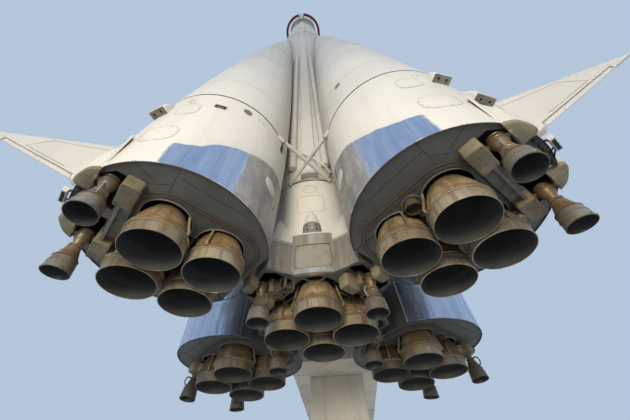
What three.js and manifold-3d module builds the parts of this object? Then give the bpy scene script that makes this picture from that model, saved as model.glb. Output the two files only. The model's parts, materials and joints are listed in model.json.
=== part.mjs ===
// Four-booster space rocket standing on its support, as a 1:2 scale model.
// Every length below is the real rocket's, in millimetres; the outermost group halves them.
// Frame: +Z up, the rocket's axis is the Z axis, z = 0 is the underside of the base slab.
// Within the rocket, heights are counted from the plane of the nozzle exits.
// Each booster has its own frame: x outwards from the rocket's axis, y sideways, z up.

import * as THREE from 'three';
import { mergeVertices } from 'three/addons/utils/BufferGeometryUtils.js';
import Module from 'manifold-3d';

const wasm = await Module();
wasm.setup();

// Driving dimensions

const MODEL_SCALE = 0.5;
const NOZZLE_PLANE = 3730; // height of the nozzle exits above the slab's underside
const SEAT = 0.6; // gap between pieces that touch

const DEGREE = Math.PI / 180;
const LEAN = 3.75 * DEGREE; // the boosters lean inwards by this
const BASE_RADIUS = 2682; // centre of a booster's base, from the rocket's axis
const BASE_HEIGHT = 490; // height of that centre
const TAIL_LENGTH = 2580;
const TAIL_RADIUS = 1344;
const FLAT = { x: -1158, top: 1600, runOut: 1850 }; // flat on the side that faces the core

const BASE_PLATE = 30;
const RECESS = { x: -200, halfX: 840, halfY: 810, corner: 420, depth: 850 }; // above the plate
const BELL_HOLE_RADIUS = 340;
const CENTRE_HOLE_RADIUS = 350;
const ENGINE_RADIUS = 2543; // centre of a booster's four nozzles
const NOZZLE_OFFSET = 553.5; // each booster nozzle from that centre
const CORE_NOZZLE_OFFSET = 560.7;
const CORE_NOZZLE_DROP = 16; // the core's exits hang this much lower

const PIVOT_RADIUS = 3691; // steering nozzle pivots of the boosters
const PIVOT_SIDE = 550;
const PIVOT_HEIGHT = 527;
const PIVOT_CANT = 5 * DEGREE; // they park turned outwards by this
const BRACKET_INNER = 3560; // faces that hold the pivots' two ends
const BRACKET_OUTER = 3822;
const TRUNNION_RADIUS = 35;

const CORE_RADIUS = 1030;
const CORE_TAIL_BOTTOM = 470;
const CORE_TAIL_TOP = 2990;
const CORE_PIVOT_RADIUS = 1195;
const CORE_PIVOT_HEIGHT = 430;
const CORE_BRACKET_INNER = 1095;
const CORE_BRACKET_OUTER = 1295;
const POD_RADIUS = 1400; // outer face of a core pod
const ROOF_BOTTOM = 1100; // where a pod's walls end and its roof starts
const ROOF_TOP = 2000;

const SUPPORT_X = 120; // the support stands a little to one side of the axis
const MAST_FRONT = 3150; // front face of the mast and of the beam
const BEAM_BOTTOM = 900;
const BEAM_TOP = 2200;

const BOOSTERS = [
  { name: 'front_left', azimuth: -135 * DEGREE },
  { name: 'front_right', azimuth: -45 * DEGREE },
  { name: 'rear_right', azimuth: 45 * DEGREE },
  { name: 'rear_left', azimuth: 135 * DEGREE },
];

// Finishes

function finish(color, roughness, metalness) {
  return new THREE.MeshStandardMaterial({ color, roughness, metalness });
}

const CREAM = finish(0xe4dfd2, 0.55, 0.0);
const STEEL = finish(0x9c9890, 0.4, 0.8);
const NOZZLE = finish(0x9a8a72, 0.55, 0.6);
const SUPPORT = finish(0xcfc6b4, 0.6, 0.1);
const CONCRETE = finish(0xa9a8a4, 0.9, 0.0);
const CLAMP = finish(0x5a1420, 0.5, 0.2);

// Shape helpers

function solid(geometry, matrix) {
  const plain = geometry.clone();
  plain.deleteAttribute('normal');
  plain.deleteAttribute('uv');
  if (matrix) plain.applyMatrix4(matrix);
  const merged = mergeVertices(plain, 1e-3);
  const vertProperties = Float32Array.from(merged.attributes.position.array);
  const triVerts = Uint32Array.from(merged.index.array);
  return new wasm.Manifold(new wasm.Mesh({ numProp: 3, vertProperties, triVerts }));
}

function geometryOf(manifold) {
  const { vertProperties, triVerts } = manifold.getMesh();
  const geometry = new THREE.BufferGeometry();
  geometry.setAttribute('position', new THREE.BufferAttribute(vertProperties, 3));
  geometry.setIndex(new THREE.BufferAttribute(triVerts, 1));
  geometry.computeVertexNormals();
  return geometry;
}

function turned(profile, segments) {
  // profile: [radius, height] pairs, up the outside, round the Z axis
  const points = profile.map(([radius, height]) => new THREE.Vector2(radius, height));
  return new THREE.LatheGeometry(points, segments).rotateX(Math.PI / 2);
}

function shapeOf(outline) {
  return new THREE.Shape(outline.map(([x, y]) => new THREE.Vector2(x, y)));
}

function prism(shape, bottom, top, curveSegments = 6) {
  const options = { depth: top - bottom, bevelEnabled: false, curveSegments };
  return new THREE.ExtrudeGeometry(shape, options).translate(0, 0, bottom);
}

function sidePrism(outline, from, to) {
  // outline: [x, z] pairs, standing upright and running sideways from y = from to y = to
  return prism(shapeOf(outline), -to, -from).rotateX(Math.PI / 2);
}

function box(low, high) {
  const size = high.map((value, axis) => value - low[axis]);
  const centre = high.map((value, axis) => (value + low[axis]) / 2);
  return new THREE.BoxGeometry(...size).translate(...centre);
}

function roundedRectangle(x, halfX, halfY, corner) {
  const shape = new THREE.Shape();
  const cx = halfX - corner;
  const cy = halfY - corner;
  shape.absarc(x + cx, -cy, corner, -Math.PI / 2, 0);
  shape.absarc(x + cx, cy, corner, 0, Math.PI / 2);
  shape.absarc(x - cx, cy, corner, Math.PI / 2, Math.PI);
  shape.absarc(x - cx, -cy, corner, Math.PI, 1.5 * Math.PI);
  return shape;
}

function rod(from, to, radius, segments) {
  const start = new THREE.Vector3(...from);
  const way = new THREE.Vector3(...to).sub(start);
  const up = new THREE.Vector3(0, 1, 0);
  const turn = new THREE.Quaternion().setFromUnitVectors(up, way.clone().normalize());
  const geometry = new THREE.CylinderGeometry(radius, radius, way.length(), segments);
  geometry.applyQuaternion(turn);
  return geometry.translate(...start.addScaledVector(way, 0.5));
}

function loft(sections) {
  // sections: {z, outline}, all outlines anticlockwise with the same number of points
  const count = sections[0].outline.length;
  const positions = sections.flatMap(({ z, outline }) => outline.flatMap(([x, y]) => [x, y, z]));
  const index = [];
  for (let level = 0; level < sections.length - 1; level += 1) {
    for (let i = 0; i < count; i += 1) {
      const next = (i + 1) % count;
      const a = level * count + i;
      const b = level * count + next;
      index.push(a, b, b + count, a, b + count, a + count);
    }
  }
  const flat = (section) => section.outline.map(([x, y]) => new THREE.Vector2(x, y));
  const last = (sections.length - 1) * count;
  for (const [i, j, k] of THREE.ShapeUtils.triangulateShape(flat(sections[0]), [])) {
    index.push(i, k, j);
  }
  for (const [i, j, k] of THREE.ShapeUtils.triangulateShape(flat(sections.at(-1)), [])) {
    index.push(last + i, last + j, last + k);
  }
  const geometry = new THREE.BufferGeometry();
  geometry.setAttribute('position', new THREE.Float32BufferAttribute(positions, 3));
  geometry.setIndex(index);
  return geometry;
}

function turnedAbout(azimuth) {
  return new THREE.Matrix4().makeRotationZ(azimuth);
}

function add(group, name, shape, material) {
  const geometry = shape instanceof THREE.BufferGeometry ? shape : geometryOf(shape);
  const mesh = new THREE.Mesh(geometry, material);
  mesh.name = name;
  group.add(mesh);
  return mesh;
}

// A booster's leaning frame: its origin is the centre of the base, its +Z the booster's axis

const LEANING = new THREE.Matrix4()
  .makeTranslation(BASE_RADIUS, 0, BASE_HEIGHT)
  .multiply(new THREE.Matrix4().makeRotationY(-LEAN));

function leant(x, along) {
  const point = new THREE.Vector3(x, 0, along).applyMatrix4(LEANING);
  return [point.x, point.z];
}

// Booster tank: a long cone with a crowned top, ending in the ball that the core's bracket takes

function boosterTank() {
  const profile = [
    [0, TAIL_LENGTH + SEAT],
    [TAIL_RADIUS, TAIL_LENGTH + SEAT],
    [1248, 5000],
    [1078, 8000],
    [715, 13000],
    [543, 15000],
    [191, 18000],
    [50, 18700],
    [0, 18800],
  ];
  return turned(profile, 24).applyMatrix4(LEANING);
}

// Booster tail: a drum with a flat towards the core. Its base plate has a hole for each bell, with the
// engine's space above it, and two pockets for the steering nozzles.

function tailDrum(growth) {
  const profile = [
    [0, -growth],
    [TAIL_RADIUS + growth, -growth],
    [TAIL_RADIUS + growth, TAIL_LENGTH + growth],
    [0, TAIL_LENGTH + growth],
  ];
  return solid(turned(profile, 32), LEANING);
}

function pocket(side) {
  const outline = [
    [858, 100],
    [1138, 100],
    [1138, 590],
    [1008, 740],
    [858, 740],
  ];
  const near = outline.map(([x, y]) => [x, y * side]);
  return solid(prism(shapeOf(near), -60, 420), LEANING);
}

function innerBracket(side) {
  const ends = [390 * side, 790 * side].sort((a, b) => a - b);
  return solid(box([3335, ends[0], 385], [BRACKET_INNER, ends[1], 640]));
}

function outerFairing(side) {
  const outline = [
    [BRACKET_OUTER, 400],
    [3990, 400],
    [4035, 470],
    [4020, 760],
    [3880, 1350],
    [BRACKET_OUTER, 1350],
  ];
  const ends = [330 * side, 680 * side].sort((a, b) => a - b);
  return solid(sidePrism(outline, ...ends));
}

function skinWedge({ angle, bottom, height, width, stand }) {
  // a fairing on the skin: deep at its flat lower end, running out at its top
  const outline = [
    [1250, bottom],
    [TAIL_RADIUS + stand, bottom],
    [TAIL_RADIUS + stand, bottom + 0.35 * height],
    [TAIL_RADIUS - 10, bottom + height],
    [1250, bottom + height],
  ];
  const matrix = LEANING.clone().multiply(turnedAbout(angle));
  return solid(sidePrism(outline, -width / 2, width / 2), matrix);
}

const SKIN_WEDGES = [
  { angle: -26 * DEGREE, bottom: 1700, height: 480, width: 300, stand: 130 },
  { angle: 26 * DEGREE, bottom: 1700, height: 480, width: 300, stand: 130 },
  { angle: -22 * DEGREE, bottom: 700, height: 480, width: 300, stand: 130 },
];

function flatSide() {
  const outline = [
    [FLAT.x, -60],
    [FLAT.x, FLAT.top],
    [-TAIL_RADIUS - 20, FLAT.runOut],
    [-TAIL_RADIUS - 20, -60],
  ];
  return solid(sidePrism(outline, -900, 900), LEANING);
}

function plateHoles() {
  const hole = (x, y, radius) => {
    const profile = [[0, 380], [radius, 380], [radius, 640], [0, 640]];
    return solid(turned(profile, 24).translate(x, y, 0));
  };
  let holes = hole(ENGINE_RADIUS, 0, CENTRE_HOLE_RADIUS);
  for (const [x, y] of boosterBells()) {
    holes = holes.add(hole(x, y, BELL_HOLE_RADIUS));
  }
  return holes;
}

function boosterTail() {
  const recessShape = roundedRectangle(RECESS.x, RECESS.halfX, RECESS.halfY, RECESS.corner);
  const recess = solid(prism(recessShape, BASE_PLATE, RECESS.depth), LEANING);
  let tail = tailDrum(0).subtract(recess).subtract(plateHoles()).subtract(flatSide());
  for (const side of [1, -1]) {
    tail = tail.subtract(pocket(side));
    tail = tail.add(innerBracket(side));
    tail = tail.add(outerFairing(side));
  }
  for (const wedge of SKIN_WEDGES) {
    tail = tail.add(skinWedge(wedge));
  }
  return tail;
}

// Main engines: four bells under one thrust frame

const BELL = [
  [0, 720],
  [250, 450],
  [348, 160],
  [352, 0],
  [370, 0],
  [368, 160],
  [268, 450],
  [110, 740],
  [165, 900],
  [165, 1250],
  [0, 1250],
];

function bell(x, y, drop) {
  return solid(turned(BELL, 10).translate(x, y, -drop));
}

function boosterBells() {
  const diagonal = NOZZLE_OFFSET * Math.SQRT1_2;
  const corners = [[1, 1], [1, -1], [-1, 1], [-1, -1]];
  return corners.map(([sx, sy]) => [ENGINE_RADIUS + sx * diagonal, sy * diagonal]);
}

function boosterEngine() {
  const top = RECESS.depth - SEAT;
  let engine = solid(prism(roundedRectangle(-139, 700, 690, 300), 700, top, 4), LEANING);
  for (const [x, y] of boosterBells()) {
    engine = engine.add(bell(x, y, 0));
  }
  return engine;
}

// Steering nozzles: a ball on trunnions, a neck, a collar and a small bell

function steeringNozzle(ball, reach) {
  const profile = [
    [0, -215],
    [120, -390],
    [157, -580],
    [168, -580],
    [138, -385],
    [66, -200],
    [62, -170],
    [0.8 * ball, -0.6 * ball],
    [ball, 0],
    [0.62 * ball, 0.79 * ball],
    [0, ball],
  ];
  const trunnion = rod([-reach, 0, 0], [reach, 0, 0], TRUNNION_RADIUS, 6);
  return solid(turned(profile, 8)).add(solid(trunnion));
}

// Fins and rudders stand in the plane through the rocket's axis and the booster's

const FIN_TIP = [5150, 955];
const TRAILING_ROOT = [4168, 822];
const FIN_CUT = { inner: [4168, 900], outer: [4972, 991] }; // edge above the rudder
const RUDDER_INNER = 4180;
const RUDDER_OUTER = 4960;
const HINGE_DEPTH = 12; // hinge line below the rudder's upper edge
const RUDDER_GAP = 15;
const PIN_SEAT = 1.6; // the pins' ends are square to the sloping hinge line

function lineHeight([x0, z0], [x1, z1], x) {
  return z0 + ((x - x0) / (x1 - x0)) * (z1 - z0);
}

function trailingHeight(x) {
  return lineHeight(TRAILING_ROOT, FIN_TIP, x);
}

function hingeHeight(x) {
  return lineHeight(FIN_CUT.inner, FIN_CUT.outer, x) - RUDDER_GAP - HINGE_DEPTH;
}

function plate(outline, rootThickness, tipThickness) {
  // an upright plate that thins from the booster's skin to the fin's tip
  const geometry = sidePrism(outline, -0.5, 0.5);
  const position = geometry.attributes.position;
  for (let i = 0; i < position.count; i += 1) {
    const share = (position.getX(i) - 3940) / (FIN_TIP[0] - 3940);
    position.setY(i, position.getY(i) * (rootThickness + share * (tipThickness - rootThickness)));
  }
  return geometry;
}

function fin() {
  const skin = TAIL_RADIUS + SEAT;
  const outline = [
    leant(skin, 205),
    TRAILING_ROOT,
    FIN_CUT.inner,
    FIN_CUT.outer,
    [FIN_CUT.outer[0], trailingHeight(FIN_CUT.outer[0])],
    FIN_TIP,
    leant(skin, 1250),
  ];
  const root = [leant(skin, 215), leant(skin + 60, 215), leant(skin + 60, 1150), leant(skin, 1240)];
  return solid(plate(outline, 60, 20)).add(solid(sidePrism(root, -80, 80)));
}

function rudder() {
  const top = (x) => hingeHeight(x) + HINGE_DEPTH;
  const outline = [
    [RUDDER_INNER, trailingHeight(RUDDER_INNER)],
    [RUDDER_OUTER, trailingHeight(RUDDER_OUTER)],
    [RUDDER_OUTER, top(RUDDER_OUTER)],
    [RUDDER_INNER, top(RUDDER_INNER)],
  ];
  const pinEnds = [FIN_CUT.inner[0] + PIN_SEAT, FIN_CUT.outer[0] - PIN_SEAT];
  const pin = rod(...pinEnds.map((x) => [x, 0, hingeHeight(x)]), 8, 6);
  return solid(sidePrism(outline, -11, 11)).add(solid(pin));
}

// Core tail: a drum with four pods, each over a bay that is open below for a steering nozzle

function podOutline(inner, corner, side, outer) {
  // half of it from the drum outwards: inner end, drum's corner, side wall's two ends, outer face
  const half = [inner, corner, ...side, outer];
  const mirrored = half.map(([x, y]) => [x, -y]);
  return [...mirrored, ...half.reverse()];
}

function pod() {
  const foot = podOutline([600, 509], [976, 509], [[1143, 450], [1335, 405]], [POD_RADIUS, 320]);
  const eaves = podOutline([600, 512], [966, 512], [[1135, 455], [1290, 420]], [POD_RADIUS - 55, 335]);
  const apex = podOutline([600, 100], [1012, 120], [[1014, 122], [1018, 124]], [1022, 125]);
  return loft([
    { z: CORE_TAIL_BOTTOM, outline: foot },
    { z: ROOF_BOTTOM, outline: eaves },
    { z: ROOF_TOP, outline: apex },
  ]);
}

function bay(bottom) {
  const outline = [
    [880, -385],
    [1212, -385],
    [1340, -283],
    [1340, 283],
    [1212, 385],
    [880, 385],
  ];
  return prism(shapeOf(outline), bottom, 900);
}

function coreTail() {
  const drum = [
    [0, CORE_TAIL_BOTTOM],
    [CORE_RADIUS, CORE_TAIL_BOTTOM],
    [CORE_RADIUS, CORE_TAIL_TOP],
    [0, CORE_TAIL_TOP],
  ];
  const recess = { bottom: CORE_TAIL_BOTTOM - 60, top: 1250 };
  let tail = solid(turned(drum, 32));
  for (const { azimuth } of BOOSTERS) {
    tail = tail.add(solid(pod(), turnedAbout(azimuth)));
  }
  tail = tail.subtract(solid(box([-560, -560, recess.bottom], [560, 560, recess.top])));
  for (const { azimuth } of BOOSTERS) {
    const well = turned([[0, recess.bottom], [390, recess.bottom], [390, recess.top], [0, recess.top]], 16);
    well.translate(CORE_NOZZLE_OFFSET, 0, 0);
    tail = tail.subtract(solid(well, turnedAbout(azimuth + Math.PI / 4)));
    const outwards = turnedAbout(azimuth);
    tail = tail.subtract(solid(bay(recess.bottom), outwards));
    tail = tail.add(solid(box([870, -95, 370], [CORE_BRACKET_INNER, 95, 600]), outwards));
    tail = tail.add(solid(box([CORE_BRACKET_OUTER, -120, 375], [1350, 120, 620]), outwards));
  }
  return tail;
}

function coreEngine() {
  const top = 1250 - SEAT;
  let engine = solid(box([-540, -540, 1110], [540, 540, top]));
  for (const { azimuth } of BOOSTERS) {
    const turn = azimuth + Math.PI / 4;
    const x = CORE_NOZZLE_OFFSET * Math.cos(turn);
    const y = CORE_NOZZLE_OFFSET * Math.sin(turn);
    engine = engine.add(bell(x, y, CORE_NOZZLE_DROP));
  }
  return engine;
}

// Core tank: a slim drum that widens to a shoulder over the boosters' tips, then narrows

const CORE_PROFILE = [
  { z: CORE_TAIL_TOP + SEAT, r: CORE_RADIUS },
  { z: 12500, r: CORE_RADIUS },
  { z: 18600, r: 1215 },
  { z: 19262, r: 1240 },
  { z: 19700, r: 1475 },
  { z: 20900, r: 1475 },
  { z: 26200, r: 1150 },
];

function coreBody(growth) {
  const profile = CORE_PROFILE.map(({ z, r }) => [r + growth, z]);
  const bottom = CORE_PROFILE[0].z;
  const top = CORE_PROFILE.at(-1).z;
  return solid(turned([[0, bottom], ...profile, [0, top]], 32));
}

function coreTank() {
  const [tipRadius, tipHeight] = leant(0, 18800);
  let tank = coreBody(0);
  for (const { azimuth } of BOOSTERS) {
    const low = [1150, -90, tipHeight + SEAT];
    const high = [tipRadius + 90, 90, tipHeight + 300];
    tank = tank.add(solid(box(low, high), turnedAbout(azimuth)));
  }
  return tank;
}

function coreRadius(z) {
  const upper = CORE_PROFILE.findIndex((row) => row.z >= z);
  const high = CORE_PROFILE[Math.max(upper, 1)];
  const low = CORE_PROFILE[Math.max(upper, 1) - 1];
  return low.r + ((z - low.z) / (high.z - low.z)) * (high.r - low.r);
}

// Raceway: a flat duct up the front of the core with a block at its foot

function raceway() {
  const heights = [3300, 12500, 18600, 19262, 19700, 20900, 26100];
  const sections = heights.map((z) => {
    const r = coreRadius(z);
    return { z, outline: [[-165, -r - 90], [165, -r - 90], [165, -r + 60], [-165, -r + 60]] };
  });
  const foot = box([-195, -CORE_RADIUS - 130, 3010], [195, -CORE_RADIUS + 60, 3330]);
  return solid(loft(sections)).add(solid(foot)).subtract(coreBody(SEAT));
}

// Feed pipes: one each side of the raceway, let a little way into the core's skin

function feedPipe(side) {
  const radius = 100;
  const sunk = 8;
  const place = (z, angle) => {
    const out = coreRadius(z) + radius - sunk;
    return [side * out * Math.sin(angle), -out * Math.cos(angle), z];
  };
  const pipe = rod(place(3400, 20.5 * DEGREE), place(14100, 17 * DEGREE), radius, 12);
  return solid(pipe).subtract(coreBody(SEAT));
}

// Upper works

function interstage() {
  // open framework between two rings: six pairs of crossing struts
  const ring = (radius, bottom) => turned([
    [radius - 90, bottom],
    [radius, bottom],
    [radius, bottom + 90],
    [radius - 90, bottom + 90],
    [radius - 90, bottom],
  ], 24);
  const low = { radius: 1150, z: 26200 + SEAT };
  const high = { radius: 1200, z: 28910 };
  let frame = solid(ring(low.radius, low.z)).add(solid(ring(high.radius, high.z)));
  const pairs = 6;
  for (let i = 0; i < pairs; i += 1) {
    for (const slant of [-1, 1]) {
      const a = ((2 * i) * Math.PI) / pairs;
      const b = ((2 * i + slant) * Math.PI) / pairs;
      const from = [(low.radius - 45) * Math.cos(a), (low.radius - 45) * Math.sin(a), low.z + 30];
      const to = [(high.radius - 45) * Math.cos(b), (high.radius - 45) * Math.sin(b), high.z + 60];
      frame = frame.add(solid(rod(from, to, 32, 4)));
    }
  }
  return frame;
}

const UPPER_STAGE_BOTTOM = 29000 + SEAT;
const FAIRING_BOTTOM = 31300;
const UPPER_RADIUS = 1200;
const ROCKET_TOP = 38360;

function upperStage() {
  const top = FAIRING_BOTTOM - SEAT;
  return turned([
    [0, UPPER_STAGE_BOTTOM],
    [UPPER_RADIUS, UPPER_STAGE_BOTTOM],
    [UPPER_RADIUS, top],
    [0, top],
  ], 24);
}

function payloadFairing() {
  // straight for a stretch, then an ogive whose radius follows a sine
  const shoulder = 33300;
  const steps = 5;
  const profile = [[0, FAIRING_BOTTOM], [UPPER_RADIUS, FAIRING_BOTTOM]];
  for (let i = 0; i < steps; i += 1) {
    const share = i / steps;
    const z = shoulder + (ROCKET_TOP - shoulder) * share;
    profile.push([UPPER_RADIUS * Math.pow(1 - share, 0.68) * (1 + 0.28 * share), z]);
  }
  profile.push([0, ROCKET_TOP]);
  return turned(profile, 24);
}

// Braces: two crossing rods in each gap between boosters, tied to the core

function brace(azimuth) {
  // azimuth: middle of the gap; the rods are drawn for the front gap and turned round to it
  const swing = turnedAbout(azimuth + Math.PI / 2);
  let cross = null;
  for (const side of [1, -1]) {
    const piece = solid(rod([side * 519, -2156, 2941], [side * -559, -829, 2900], 45, 6), swing);
    cross = cross ? cross.add(piece) : piece;
  }
  for (const booster of BOOSTERS) {
    const big = tailDrum(SEAT).transform(turnedAbout(booster.azimuth).elements);
    cross = cross.subtract(big);
  }
  const drum = [[0, 2700], [CORE_RADIUS + SEAT, 2700], [CORE_RADIUS + SEAT, 3100], [0, 3100]];
  return cross.subtract(solid(turned(drum, 32)));
}

// Support: slab, two columns, a beam, the mast behind the rocket and what it holds the rocket with

const SLAB_TOP = 300 - NOZZLE_PLANE;

function mast() {
  const depth = [MAST_FRONT, MAST_FRONT + 1200];
  const top = 29800;
  const bottom = BEAM_TOP + SEAT;
  let body = solid(box([SUPPORT_X - 800, depth[0], bottom], [SUPPORT_X + 800, depth[1], top]));
  const holes = 9;
  const pitch = (top - bottom) / holes;
  for (let i = 0; i < holes; i += 1) {
    const z = bottom + pitch * (i + 0.5);
    const y = (depth[0] + depth[1]) / 2;
    body = body.subtract(solid(rod([SUPPORT_X - 900, y, z], [SUPPORT_X + 900, y, z], 380, 12)));
  }
  return body;
}

function clampArm(side) {
  // a bent tube from the mast's front face round the rocket to its front, with a hook at its end
  const height = 28860;
  const radius = 1500;
  const tube = 105;
  const at = (x, y) => new THREE.Vector3(x, y, height);
  const tipAngle = 9 * DEGREE;
  const root = at(SUPPORT_X + side * 650, MAST_FRONT + 60);
  const hip = at(side * radius, 300);
  const steps = 12;
  const points = [root, at(side * (radius - 60), 1500), hip];
  for (let i = 1; i <= steps; i += 1) {
    const angle = Math.PI / 2 - (i / steps) * (Math.PI / 2 - tipAngle);
    points.push(at(side * radius * Math.sin(angle), -radius * Math.cos(angle)));
  }
  const bent = new THREE.ExtrudeGeometry(new THREE.Shape().absarc(0, 0, tube, 0, 2 * Math.PI), {
    steps: 20,
    extrudePath: new THREE.CatmullRomCurve3(points),
    curveSegments: 4,
    bevelEnabled: false,
  });
  const hook = rod([side * 250, -1470, height], [side * 165, -1240, height], 40, 8);
  const behind = box([-1500, MAST_FRONT - SEAT, height - 200], [1500, MAST_FRONT + 300, height + 200]);
  return solid(bent).add(solid(hook)).subtract(solid(behind));
}

// Assembly

const model = new THREE.Group();
model.scale.setScalar(MODEL_SCALE);
const rocket = new THREE.Group();
rocket.position.z = NOZZLE_PLANE;
model.add(rocket);

for (const { name, azimuth } of BOOSTERS) {
  const booster = new THREE.Group();
  booster.rotation.z = azimuth;
  rocket.add(booster);
  add(booster, `booster_tank_${name}`, boosterTank(), CREAM);
  add(booster, `booster_tail_${name}`, boosterTail(), CREAM);
  add(booster, `booster_engine_${name}`, boosterEngine(), NOZZLE);
  add(booster, `fin_${name}`, fin(), CREAM);
  add(booster, `rudder_${name}`, rudder(), CREAM);
  const reach = (BRACKET_OUTER - BRACKET_INNER) / 2 - SEAT;
  for (const [number, side] of [[1, 1], [2, -1]]) {
    const nozzle = add(booster, `steering_nozzle_${name}_${number}`, steeringNozzle(105, reach), NOZZLE);
    nozzle.position.set(PIVOT_RADIUS, side * PIVOT_SIDE, PIVOT_HEIGHT);
    nozzle.rotation.x = side * PIVOT_CANT;
  }
  const coreReach = (CORE_BRACKET_OUTER - CORE_BRACKET_INNER) / 2 - SEAT;
  const coreNozzle = add(booster, `core_steering_nozzle_${name}`, steeringNozzle(85, coreReach), NOZZLE);
  coreNozzle.position.set(CORE_PIVOT_RADIUS, 0, CORE_PIVOT_HEIGHT);
}

const GAPS = ['front', 'right', 'rear', 'left'];
GAPS.forEach((gap, i) => {
  add(rocket, `brace_${gap}`, brace(-Math.PI / 2 + (i * Math.PI) / 2), SUPPORT);
});

add(rocket, 'core_tail', coreTail(), CREAM);
add(rocket, 'core_engine', coreEngine(), NOZZLE);
add(rocket, 'core_tank', coreTank(), CREAM);
add(rocket, 'raceway', raceway(), CREAM);
add(rocket, 'feed_pipe_left', feedPipe(-1), CREAM);
add(rocket, 'feed_pipe_right', feedPipe(1), CREAM);
add(rocket, 'interstage_frame', interstage(), STEEL);
add(rocket, 'upper_stage', upperStage(), CREAM);
add(rocket, 'payload_fairing', payloadFairing(), CREAM);

const beamFront = MAST_FRONT;
const beamBack = 9000;
const column = (front, back) => box(
  [SUPPORT_X - 720, front, SLAB_TOP + SEAT],
  [SUPPORT_X + 720, back, BEAM_BOTTOM - SEAT],
);
add(rocket, 'base_slab', box([-2700, -2900, -NOZZLE_PLANE], [2900, 9600, SLAB_TOP]), CONCRETE);
add(rocket, 'front_column', column(4150, 5450), SUPPORT);
add(rocket, 'rear_column', column(7500, 8700), SUPPORT);
const beam = box([SUPPORT_X - 1150, beamFront, BEAM_BOTTOM], [SUPPORT_X + 1150, beamBack, BEAM_TOP]);
add(rocket, 'support_beam', beam, SUPPORT);
add(rocket, 'mast', mast(), SUPPORT);
for (const [name, side] of [['left', -1], ['right', 1]]) {
  add(rocket, `clamp_arm_${name}`, clampArm(side), CLAMP);
}

const lowerCradle = solid(box([-200, 900, 1500], [200, MAST_FRONT - SEAT, 2100]));
const lowerDrum = turned([[0, 1300], [CORE_RADIUS + SEAT, 1300], [CORE_RADIUS + SEAT, 2500], [0, 2500]], 32);
add(rocket, 'lower_cradle', lowerCradle.subtract(solid(lowerDrum)), SUPPORT);
const upperCradle = solid(box([-350, 1300, 21200], [350, MAST_FRONT - SEAT, 21800]));
add(rocket, 'upper_cradle', upperCradle.subtract(coreBody(SEAT)), SUPPORT);

export default model;
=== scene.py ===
"""Looks of a four-booster space rocket on its display support.

Lengths are the real rocket's, in metres, and heights count from the plane of its nozzle exits.
REAL halves them and lifts them onto the slab, which gives the model's own frame.
A booster's frame has x outwards from the rocket's axis, y sideways and z up.
Its leaning frame starts at the centre of its base, and its z runs along the booster's own axis.
"""
import json
import math
import random

import bpy
import numpy as np
from mathutils import Matrix, Vector, geometry

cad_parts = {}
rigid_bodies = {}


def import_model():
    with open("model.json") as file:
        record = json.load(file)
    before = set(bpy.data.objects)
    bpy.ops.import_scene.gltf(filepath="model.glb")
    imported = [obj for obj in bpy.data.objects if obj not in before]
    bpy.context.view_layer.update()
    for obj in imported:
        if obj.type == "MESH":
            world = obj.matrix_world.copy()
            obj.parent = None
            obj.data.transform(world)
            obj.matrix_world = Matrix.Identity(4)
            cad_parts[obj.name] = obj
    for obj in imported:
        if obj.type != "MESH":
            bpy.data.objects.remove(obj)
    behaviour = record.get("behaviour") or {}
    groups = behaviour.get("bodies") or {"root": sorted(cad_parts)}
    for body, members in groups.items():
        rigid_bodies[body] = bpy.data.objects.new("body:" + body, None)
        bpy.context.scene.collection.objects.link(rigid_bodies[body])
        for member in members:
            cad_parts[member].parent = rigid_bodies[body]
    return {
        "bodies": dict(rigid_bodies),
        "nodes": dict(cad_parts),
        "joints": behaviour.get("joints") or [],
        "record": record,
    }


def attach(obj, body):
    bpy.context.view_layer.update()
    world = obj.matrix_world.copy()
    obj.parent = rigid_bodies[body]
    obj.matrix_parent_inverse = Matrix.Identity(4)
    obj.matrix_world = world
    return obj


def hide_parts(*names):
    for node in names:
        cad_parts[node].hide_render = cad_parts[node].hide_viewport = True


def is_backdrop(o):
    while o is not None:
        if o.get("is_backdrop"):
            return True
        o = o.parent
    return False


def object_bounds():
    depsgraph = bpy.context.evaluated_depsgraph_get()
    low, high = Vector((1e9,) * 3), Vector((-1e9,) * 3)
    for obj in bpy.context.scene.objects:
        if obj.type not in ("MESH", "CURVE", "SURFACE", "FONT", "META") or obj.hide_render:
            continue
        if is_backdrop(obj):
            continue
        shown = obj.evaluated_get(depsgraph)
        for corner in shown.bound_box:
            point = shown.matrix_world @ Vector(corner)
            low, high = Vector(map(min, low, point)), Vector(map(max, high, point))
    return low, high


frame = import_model()
cad_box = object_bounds()

# Driving dimensions

SCALE = 0.5
EXIT_PLANE = 3.73
REAL = Matrix.Diagonal((SCALE, SCALE, SCALE, 1)) @ Matrix.Translation((0, 0, EXIT_PLANE))
AZIMUTHS = {"front_left": -135, "front_right": -45, "rear_right": 45, "rear_left": 135}
HANDS = {"front_left": -1, "front_right": 1, "rear_right": -1, "rear_left": 1}  # some fittings are mirrored

LEAN = math.radians(3.75)
BASE_RADIUS = 2.682
BASE_HEIGHT = 0.49
TAIL_LENGTH = 2.58
TAIL_RADIUS = 1.344
TANK = [(2.58, 1.344), (5.0, 1.248), (8.0, 1.078), (13.0, 0.715), (15.0, 0.543), (18.0, 0.191), (18.7, 0.05)]
BALL_TOP = 18.8
LEANING = Matrix.Translation((BASE_RADIUS, 0, BASE_HEIGHT)) @ Matrix.Rotation(-LEAN, 4, "Y")
FLAT = dict(x=-1.158, top=1.6, run_out=1.85)  # on the side that faces the core
GROOVE = (2.465, 2.512)  # round the tail, near its top

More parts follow.
